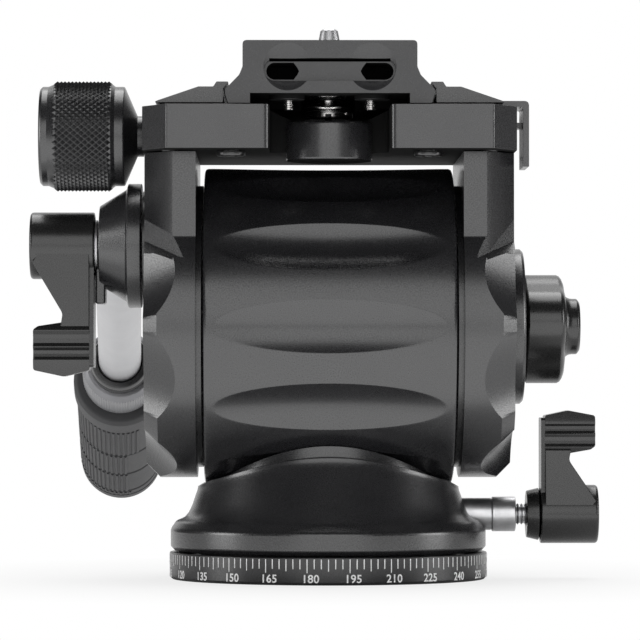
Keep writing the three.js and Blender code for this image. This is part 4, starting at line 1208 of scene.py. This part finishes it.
def wing_lever(length, radius, arm, thick, step):
    """A lever with its hub along X from the origin and its arm up, in the hub's own frame."""
    hub = turned("hub", [(0, 0), (radius, 0, 0.3), (radius, length, 0.7), (0, length)], "x", (0, 0, 0),
                 ROUND, 0.4, 4)
    half = thick / 2
    root_half = radius - 0.1
    inner = length * 0.07
    waist = length * 0.483
    end = length * 0.942
    web = [(inner, 0, 0), (length * 0.9, 0, 0), (length * 0.9, arm * 0.1, 1.2),
           (length * 0.955, arm * 0.13, 0.5), (waist, arm * 0.52, 1.6), (waist + 0.4, arm * 0.62, 0.2),
           (inner, arm * 0.62, 0)]
    web_part = drawn("web", rounded(web, 0.4, 6, closed=True), -root_half, root_half, "y")
    taper = (root_half - half) / (arm * 0.55)
    for vertex in web_part.data.vertices:
        vertex.co.y *= 1 - max(0.0, vertex.co.z) * taper / root_half
    web_part = broken(web_part, 0.35, 30)
    profile = rounded([(half * share, arm * along) for share, along in FINGER], 0.18, 3)
    finger = drawn("finger", profile + mirrored(profile), inner, end, "x")
    root = arm * FINGER[0][1]
    side = [(inner, root, 0), (waist - 0.2, root, 1.0), (end - 0.9, root + 0.75, 0.8),
            (end, root + 1.4, 0.8), (end, arm * 0.951, 0.6), (length * 0.475, arm, 1.2),
            (inner, arm * 0.951, 0.4)]
    outline = drawn("outline", rounded(side, 0.3, 5, closed=True), -thick, thick, "y")
    finger = broken(common(finger, outline), 0.22, 28)
    return gathered(hub, web_part, finger, washer_face(step, radius, arm, thick))


def washer_face(length, radius, arm, thick):
    """The thin dark step that stands between a lever and what it is screwed against."""
    half = thick / 2 - 0.5
    plan = [(-half, 0), (-half, arm * 0.93), (half, arm * 0.93), (half, 0)]
    tongue = drawn("step", rounded(plan, 0.8, 5, closed=True), 0.02, length, "x")
    rim = radius - 0.45
    disc = turned("step disc", [(0, 0), (rim, 0), (rim, length), (0, length)], edge=0.1)
    return gathered(disc, tongue)


def handle_lever():
    far = span("handle_lock_lever")[1].x
    whole = moved(wing_lever(**HANDLE_LEVER), Matrix.Rotation(math.pi, 4, "Y"))
    return moved(whole, Matrix.Translation((far, 0, HANDLE)))


def pan_lever():
    near = span("pan_lock_lever")[0].x
    return moved(wing_lever(**PAN_LEVER), Matrix.Translation((near, 0, PAN_LOCK)))


def pan_lock_turned(name, profile, around=ROUND, edge=0.15):
    return turned(name, profile, "x", (0, 0, PAN_LOCK), around, edge)


def lock_sleeve():
    low, high = span("pan_lock_sleeve")
    bore = 2.3
    body = 3.0
    nut = 3.24
    end = high.x
    return pan_lock_turned("sleeve", [(bore, low.x), (body, low.x), (body, end - 4.6, 0.1),
                                      (2.86, end - 4.5, 0.05), (nut, end - 4.3, 0.1), (nut, end, 0.25),
                                      (bore, end, 0.15)])


def lock_collar():
    low, high = span("pan_lock_collar")
    bore = 2.3
    profile = [(bore, low.x), (4.35, low.x, 0.2), (4.9, high.x, 0.15), (bore, high.x)]
    return pan_lock_turned("collar", profile)


def lock_stud():
    low, high = span("pan_lock_stud")
    root = 1.72
    end = root - 0.02
    ridges = threaded(low.x, high.x - 0.8, 0.7, [(root, 0.1), (2.0, 0.35), (root, 0.6)])
    return pan_lock_turned("stud", [(0, low.x), (end, low.x), *ridges, (end, high.x), (0, high.x)], SMALL, 0)


# Tilt lock knob

LOBES = Sizes(count=3, middle=9.6, wave=1.4, turn=171, face=44.25, around=192)
# depths below the knob's face and the share of its full width there
KNOB_ROUNDING = [(1.35, 1.0), (0.85, 0.975), (0.45, 0.92), (0.15, 0.84), (0.0, 0.7), (0.0, 0.0)]


def tilt_knob():
    low = span("tilt_lock_knob")[0].x
    shape = [(low, 0.0), (low, 0.9), (low + 0.15, 0.96), (low + 0.5, 1.0)]
    shape += [(LOBES.face - depth, share) for depth, share in KNOB_ROUNDING]
    first = math.radians(LOBES.turn)
    lobes = [(a, LOBES.middle + LOBES.wave * math.cos(LOBES.count * (a - first)))
             for a in turns_of(LOBES.around)]
    rows = []
    for x, share in shape:
        row = [(x, lobe * share * math.cos(a), TILT.z + lobe * share * math.sin(a)) for a, lobe in lobes]
        rows.append(row if share else [(x, 0, TILT.z)])
    return ringed("tilt knob", rows)


def tilt_cap():
    """The screw's cap, on a skirt that curves in from the knob's face."""
    low, high = span("tilt_lock_screw")
    stud = 2.5
    foot = 6.6
    sweep = 1.4
    start = 44.0
    end = high.x
    turns = [math.radians(18 * k) for k in range(6)]
    skirt = [(foot - sweep * math.sin(a), start + 1.6 * (1 - math.cos(a)), 0) for a in turns]
    profile = [(0, low.x), (stud, low.x), (stud, start), *skirt, (foot - sweep, end - 0.5, 0.5),
               (4.5, end, 0.4), (0, end)]
    return turned("cap", profile, "x", TILT, ROUND, 0.15, 4)


# Handle

handle = Sizes(
    pitch=math.radians(12.5), splay=math.radians(1.95), pivot_x=-39.4, bore=2.8, disc=11.6,
    disc_thick=2.5, face=7.4, cone_end=7.9, neck=4.85, neck_start=5.0, neck_end=12.5,
    tube=4.45, tube_bore=3.65, tube_start=12.8, tube_end=150.0,
    lug_low=(-43.5, -3.0, 51.3), lug_high=(-41.6, 4.0, 58.0),
)


def handle_way():
    """The handle's own axes: origin at its pivot, Z along the tube."""
    pitch = handle.pitch
    splay = handle.splay
    way = Vector((-math.sin(splay), math.cos(splay) * math.cos(pitch), -math.cos(splay) * math.sin(pitch)))
    side = Vector((1, 0, 0))
    side = (side - way * side.dot(way)).normalized()
    basis = Matrix((side, way.cross(side), way)).transposed().to_4x4()
    return Matrix.Translation((handle.pivot_x, 0, HANDLE)) @ basis


ALONG = handle_way()


def handle_hub():
    start = -span("handle_hub")[1].x
    disc = handle.disc
    rim = start + handle.disc_thick
    end = start + handle.cone_end
    bore = handle.bore
    profile = [(bore, start), (disc, start, 0.2), (disc, rim, 0.2), (disc - 1.1, rim + 0.4, 0.15),
               (handle.face, end, 0.3), (bore, end, 0.1)]
    hub = flipped(turned("hub", profile, "x", (0, 0, HANDLE), FINE, 0.2))
    neck = handle.neck
    tongue = turned("tongue", [(0, handle.neck_start), (neck, handle.neck_start),
                               (neck, handle.neck_end, 0.3), (0, handle.neck_end)], "z", edge=0.3)
    lug = broken(block(handle.lug_low, handle.lug_high), 0.4)
    return gathered(hub, moved(tongue, ALONG), lug)


def handle_tube():
    inner = handle.tube_bore
    outer = handle.tube
    start = handle.tube_start
    end = handle.tube_end
    profile = [(inner, start), (outer, start, 0.15), (outer, end, 0.15), (inner, end)]
    return moved(turned("tube", profile, "z", edge=0.15), ALONG)


def lock_neck():
    """The screw under the handle's lever, with the shoulder that serves as its washer."""
    low, high = span("handle_lock_screw")
    far = span("handle_lock_lever")[1].x
    radius = 2.5
    shoulder = 4.8
    profile = [(0, low.x), (radius, low.x), (radius, far), (shoulder, far + 0.05, 0.1),
               (shoulder, far + 0.62, 0.1), (radius, far + 0.66), (radius, high.x), (0, high.x)]
    return turned("neck", profile, "x", (0, 0, HANDLE), ROUND, 0.08)


COLLAR = Sizes(start=96.0, nut=4.3, end=113.5, radius=8.0, ribs=84, bore=4.75)


def collet_rings():
    """The dark nut ahead of the collar, where the tube is gripped."""
    start = COLLAR.start
    bore = COLLAR.bore
    crest = 6.25
    waist = 5.8
    profile = [(bore, start), (5.9, start, 0.3), (crest, start + 1.4, 0.2), (waist, start + 1.7, 0.15),
               (waist, start + 2.3, 0.15), (crest, start + 2.6, 0.2), (crest, start + 4.6, 0.15),
               (bore, start + 4.6)]
    return turned("collet", profile, "z", edge=0.2)


def twist_collar():
    start = COLLAR.start + COLLAR.nut
    end = COLLAR.end
    crest = COLLAR.radius
    bore = COLLAR.bore
    count = COLLAR.ribs
    skin = crest - 0.12
    profile = [(bore, start), (crest - 1.0, start, 0.3), (skin, start + 1.1, 0.3), (skin, end - 1.2, 0.3),
               (crest - 0.7, end, 0.3), (bore, end)]
    body = turned("collar", profile, "z", (0, 0, 0), FINE, 0.3, 4)
    half = math.pi * crest / count * 0.8
    outline = [(-half, skin - SINK), (half, skin - SINK), (0, crest)]
    rib = drawn("rib", outline, start + 1.6, end - 1.7, "z")
    return gathered(body, repeated(rib, count, 360 / count, "z", COLLAR_SILVER, weld=0))


GRIP = Sizes(start=113.8, lip=10.0, body=9.5, bore=6.6, end=196.8, pitch=6.6, ribs=26,
             rib=0.38, groove=0.6, cap=2.0, dome=6.2)
GROOVES = [151.1, 172.2, 192.4]
DOME_STEPS = 12  # points over the end cap's dome
FIRST_RIBS = [-24, -7, -8, -13]  # where each band's ribs begin, in degrees


def grip_rubber():
    start = GRIP.start
    end = GRIP.end
    lip = GRIP.lip
    bore = GRIP.bore
    body = GRIP.body - 0.3
    waist = body - GRIP.groove
    profile = [(bore, start), (lip - 0.6, start, 0.6), (lip, start + 2.0, 0.8), (lip, start + 9.0, 1.0),
               (body + 0.1, start + 10.6, 0.5), (body, start + 11.4, 0.6)]
    for groove in GROOVES:
        profile += [(body, groove - 0.9, 0.25), (waist, groove - 0.4, 0.2), (waist, groove + 0.4, 0.2),
                    (body, groove + 0.9, 0.25)]
    profile += [(body, end, 0.0), (bore, end, 0.0)]
    rubber = turned("rubber", profile, "z", (0, 0, 0), FINE, 0.3, 4)
    return gathered(rubber, *grip_ribs(body))


def grip_ribs(body):
    """Fine lengthwise ribs in bands between the grooves, off the smooth pad under the palm."""
    bands = []
    stops = [GRIP.start + 12.2, *GROOVES, GRIP.end - 0.4]
    width = GRIP.rib
    root = body - SINK
    side = body + 0.24
    outline = [(-width, root), (width, root), (width * 0.6, side), (0, body + 0.3), (-width * 0.6, side)]
    for start, end, first in zip(stops, stops[1:], FIRST_RIBS):
        rib = drawn("rib", outline, start + 1.1, end - 1.1, "z")
        bands.append(repeated(rib, GRIP.ribs, GRIP.pitch, "z", GRIP_RUBBER, start=first, weld=0))
    return bands


def grip_cap():
    start = GRIP.end
    radius = GRIP.body - 0.15
    brim = start + GRIP.cap
    turns = [math.pi / 2 * k / DOME_STEPS for k in range(1, DOME_STEPS)]
    dome = [(radius * math.cos(a) ** 0.5, brim + GRIP.dome * math.sin(a) ** 0.9, 0) for a in turns]
    profile = [(0, start), (radius, start, 0.1), (radius, brim, 0.3), *dome, (0, brim + GRIP.dome)]
    return turned("cap", profile, "z", edge=0.15)


# Handing the pieces over

def dress_base():
    piece_of(base_ring(), "base_ring", "base", RING_BLACK, "anodised", "graduated_ring")
    piece_of(base_marks(), "base_marks", "base", PRINT, None)
    piece_of(base_numerals(), "base_numerals", "base", PRINT, None)


def dress_pan():
    piece_of(pan_housing(), "pan_bell", "pan_body", ANODISED, "anodised", "pan_housing", crease=24)
    piece_of(drum_shell(), "fluted_drum", "pan_body", DRUM_BLACK, "anodised", "drum_shell", crease=40)
    piece_of(lock_sleeve(), "lock_sleeve", "pan_body", SLEEVE_STEEL, "steel", "pan_lock_sleeve")
    piece_of(lock_stud(), "lock_stud", "pan_lock", SLEEVE_STEEL, "steel", "pan_lock_stud")
    piece_of(lock_collar(), "lock_collar", "pan_lock", LEVER_BLACK, "dark_metal", "pan_lock_collar")
    piece_of(pan_lever(), "pan_wing_lever", "pan_lock", LEVER_BLACK, "dark_metal", "pan_lock_lever")


def dress_cage():
    right = cheek_solid()
    left = twin(right, "cheek twin")
    screw_hole = rod(cheek.bore, cheek.outer - cheek.bore_depth, cheek.outer + PAST, "x", TILT)
    piece_of(cut(right, screw_hole), "cheek_plate_right", "tilt_cage", ANODISED, "anodised", "cheek_right")
    pocket = rod(cheek.pocket, -cheek.outer - PAST, cheek.pocket_depth - cheek.outer, "x",
                 (0, 0, HANDLE), ROUND)
    piece_of(cut(left, pocket), "cheek_plate_left", "tilt_cage", ANODISED, "anodised", "cheek_left")
    piece_of(side_disc(), "side_boss", "tilt_cage", ANODISED, "anodised", "side_disc")
    piece_of(rosette(), "hub_rosette", "tilt_cage", BLACKED, "dark_metal", "handle_rosette")
    piece_of(deck_body(), "deck_plate", "tilt_cage", ANODISED, "anodised", "deck", recess=deck_recess)
    piece_of(fixed_jaw(), "jaw_fixed", "tilt_cage", ANODISED, "anodised", "fixed_jaw")
    deck_screws()


def dress_clamp():
    jaw_piece = gathered(moving_jaw(), jaw_tongue())
    piece_of(jaw_piece, "jaw_moving", "moving_jaw", ANODISED, "anodised", "moving_jaw")
    knob = gathered(clamp_body(), clamp_knurl())
    piece_of(knob, "clamp_grip", "clamp_knob", ANODISED, "anodised", "clamp_knob", crease=30)
    piece_of(release_tab(), "tab_bracket", "release_tab", ANODISED, "anodised", "release_tab")


def dress_plate():
    piece_of(plate_body(), "camera_plate", "quick_plate", PLATE_GREY, "anodised", "quick_plate",
             recess=plate_recess)
    for side in ("right", "left"):
        piece_of(stop_screw(side), "stop_screw_" + side, "quick_plate", BRIGHT_STEEL, "steel",
                 "plate_stop_" + side)
    piece_of(camera_screw(), "camera_bolt", "camera_screw", BRIGHT_STEEL, "steel", "camera_screw", crease=30)
    piece_of(alignment_pin(), "video_pin", "alignment_pin", PIN_STEEL, "steel", "alignment_pin")


def dress_tilt_lock():
    piece_of(tilt_knob(), "lobed_knob", "tilt_lock", LEVER_BLACK, "dark_metal", "tilt_lock_knob", crease=50)
    piece_of(tilt_cap(), "knob_cap", "tilt_lock", LEVER_BLACK, "dark_metal", "tilt_lock_screw")


def dress_handle():
    piece_of(handle_hub(), "hub_disc", "handle", ANODISED, "anodised", "handle_hub")
    piece_of(handle_tube(), "pan_tube", "handle", TUBE_SILVER, "silver", "handle_tube")
    piece_of(handle_lever(), "handle_wing_lever", "handle_lock", LEVER_BLACK, "dark_metal",
             "handle_lock_lever")
    piece_of(lock_neck(), "lever_neck", "handle_lock", PIN_STEEL, "steel", "handle_lock_screw")
    collar = moved(twist_collar(), ALONG)
    piece_of(collar, "knurled_collar", "twist_collar", COLLAR_SILVER, "silver", "twist_collar", crease=30)
    piece_of(moved(collet_rings(), ALONG), "collet_nut", "twist_collar", BLACKED, "dark_metal")
    rubber = moved(grip_rubber(), ALONG)
    piece_of(rubber, "grip_sleeve", "grip", GRIP_RUBBER, "rubber", "grip_rubber")
    piece_of(moved(grip_cap(), ALONG), "grip_end", "grip", CAP_PLASTIC, "plastic", "grip_end_cap")


# CAD pieces that stay, and their finishes

KEPT = {
    BLACKED: ["pan_nut", "drum_bolt_front", "drum_bolt_back", "guide_pin_front", "guide_pin_back",
              "clamp_spindle", "tab_pin"],
    ANODISED: ["base_plate", "drum_cap_right", "drum_cap_left", "tilt_rotor", "tilt_stator"],
    BRIGHT_STEEL: ["thread_bush", "pan_spindle", "tilt_shaft", "pin_spring"],
    BRONZE: ["pan_bearing", "tilt_bearing_right", "tilt_bearing_left"],
    NYLON: ["pan_damper_ring", "tilt_washer_right", "tilt_washer_left"],
    GRIP_RUBBER: ["pan_seal"],
    CAP_PLASTIC: ["grip_core"],
}


def dress_kept():
    for finish, nodes in KEPT.items():
        for name in nodes:
            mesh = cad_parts[name].data
            mesh.materials.clear()
            mesh.materials.append(finish)


# Camera, lights and floor

view = Sizes(
    x=-0.0095, away=0.755, height=0.0352, lens_px=4030.0, width_px=640.0, sensor=36.0,
    level_px=(277.5, 390.0),
)


def photo_camera():
    """The photograph's view: the level line straight ahead falls at level_px in the picture."""
    camera = bpy.data.cameras.new("camera")
    camera.sensor_width = view.sensor
    camera.lens = view.sensor * view.lens_px / view.width_px
    camera.clip_start = 0.01
    made = new_object("camera", camera)
    middle_px = view.width_px / 2
    right = math.atan((middle_px - view.level_px[0]) / view.lens_px)
    up = math.atan((view.level_px[1] - middle_px) / view.lens_px)
    way = Vector((math.sin(right) * math.cos(up), math.cos(right) * math.cos(up), math.sin(up)))
    made.location = (view.x, -view.away, view.height)
    made.rotation_euler = way.to_track_quat("-Z", "Y").to_euler()
    bpy.context.scene.camera = made


TABLE_AIM = (0, 0, 0.05)
# name, place, aim, width, height, watts, whether the camera sees it
LIGHTS = [
    ("front box", (0.0, -1.3, 0.48), (0, 0, 0.48), 1.3, 0.84, 7.0, True),
    ("left box", (-1.1, -0.15, 0.25), TABLE_AIM, 0.45, 0.5, 4.5, True),
    ("right box", (1.1, -0.15, 0.25), TABLE_AIM, 0.45, 0.5, 4.5, True),
    ("top box", (0.0, 0.4, 1.2), TABLE_AIM, 1.0, 1.0, 12.0, True),
    ("light table", (0.0, -0.44, 0.001), (0, -0.44, 1.0), 0.9, 0.8, 2.6, False),
]


def studio_lights():
    for name, place, aim, width, height, watts, seen in LIGHTS:
        lamp = bpy.data.lights.new(name, "AREA")
        lamp.shape = "RECTANGLE"
        lamp.size = width
        lamp.size_y = height
        lamp.energy = watts
        made = new_object(name, lamp)
        made.location = place
        made.rotation_euler = (Vector(aim) - Vector(place)).to_track_quat("-Z", "Y").to_euler()
        made.visible_camera = seen


def white_world():
    """White to the camera everywhere, and behind the object to polished metal; a low grey elsewhere."""
    world = bpy.data.worlds.new("studio")
    bpy.context.scene.world = world
    world.use_nodes = True
    tree = world.node_tree
    tree.nodes.clear()

    def faded(source, start, end):
        node = tree.nodes.new("ShaderNodeMapRange")
        node.interpolation_type = "SMOOTHSTEP"
        set_range(node, start, end)
        tree.links.new(source, node.inputs["Value"])
        return node.outputs[0]

    paths = tree.nodes.new("ShaderNodeLightPath").outputs
    split = tree.nodes.new("ShaderNodeSeparateXYZ")
    tree.links.new(tree.nodes.new("ShaderNodeTexCoord").outputs["Generated"], split.inputs[0])
    behind = faded(split.outputs["Y"], 0.1, 0.6)
    central = faded(math_node(tree, "ABSOLUTE", split.outputs["X"]), 0.6, 0.3)
    backdrop = math_node(tree, "MULTIPLY", behind, central)
    gloss = math_node(tree, "MULTIPLY", paths["Is Glossy Ray"], backdrop)
    seen = math_node(tree, "MAXIMUM", paths["Is Camera Ray"], gloss)
    through = math_node(tree, "MAXIMUM", seen, paths["Is Transmission Ray"])
    grounds = []
    for grey in (0.05, 1):
        ground = tree.nodes.new("ShaderNodeBackground")
        ground.inputs["Color"].default_value = (grey, grey, grey, 1)
        grounds.append(ground.outputs[0])
    light = mixed_shader(tree, through, *grounds)
    tree.links.new(light, tree.nodes.new("ShaderNodeOutputWorld").inputs[0])


FLOOR = Sizes(half=3000, thick=20, drop=0.02)  # its top lies this drop below the object's face


def white_floor():
    """A white table that keeps a faint shadow near the object and melts into the background."""
    half = FLOOR.half
    floor = moved(block((-half, -half, -FLOOR.thick), (half, half, -FLOOR.drop)), Matrix.Scale(MM, 4))
    floor.name = "floor"
    made = Finish("white table")
    tree = made.tree
    tree.nodes.remove(made.shader)
    paper = made.mixed(made.ranged(made.noise(3.0, 2.0), 0, 1), (0.84, 0.84, 0.84), (0.86, 0.86, 0.86))
    diffuse = made.node("ShaderNodeBsdfDiffuse")
    made.link(paper, diffuse.inputs["Color"])
    glow = made.node("ShaderNodeEmission", Color=(1, 1, 1, 1), Strength=1.0)
    length = tree.nodes.new("ShaderNodeVectorMath")
    length.operation = "LENGTH"
    made.link(made.place, length.inputs[0])
    paths = tree.nodes.new("ShaderNodeLightPath").outputs
    far = made.ranged(length.outputs["Value"], 0.78, 1.0, 0.032, 0.1)
    clear = made.ranged(length.outputs["Value"], 0.0, 0.95, 0.03, 0.06)
    seen = math_node(tree, "MAXIMUM", paths["Is Camera Ray"], paths["Is Transmission Ray"])
    glossy = math_node(tree, "MULTIPLY", paths["Is Glossy Ray"], clear)
    share = math_node(tree, "MAXIMUM", math_node(tree, "MULTIPLY", seen, far), glossy)
    surface = mixed_shader(tree, share, diffuse.outputs[0], glow.outputs[0])
    made.link(surface, tree.nodes["Material Output"].inputs["Surface"])
    floor.data.materials.append(made.material)


for step in (photo_camera, studio_lights, white_world, white_floor, dress_base, dress_pan, dress_cage,
             dress_clamp, dress_plate, dress_tilt_lock, dress_handle, dress_kept):
    step()

bpy.context.scene.view_settings.view_transform = "Standard"
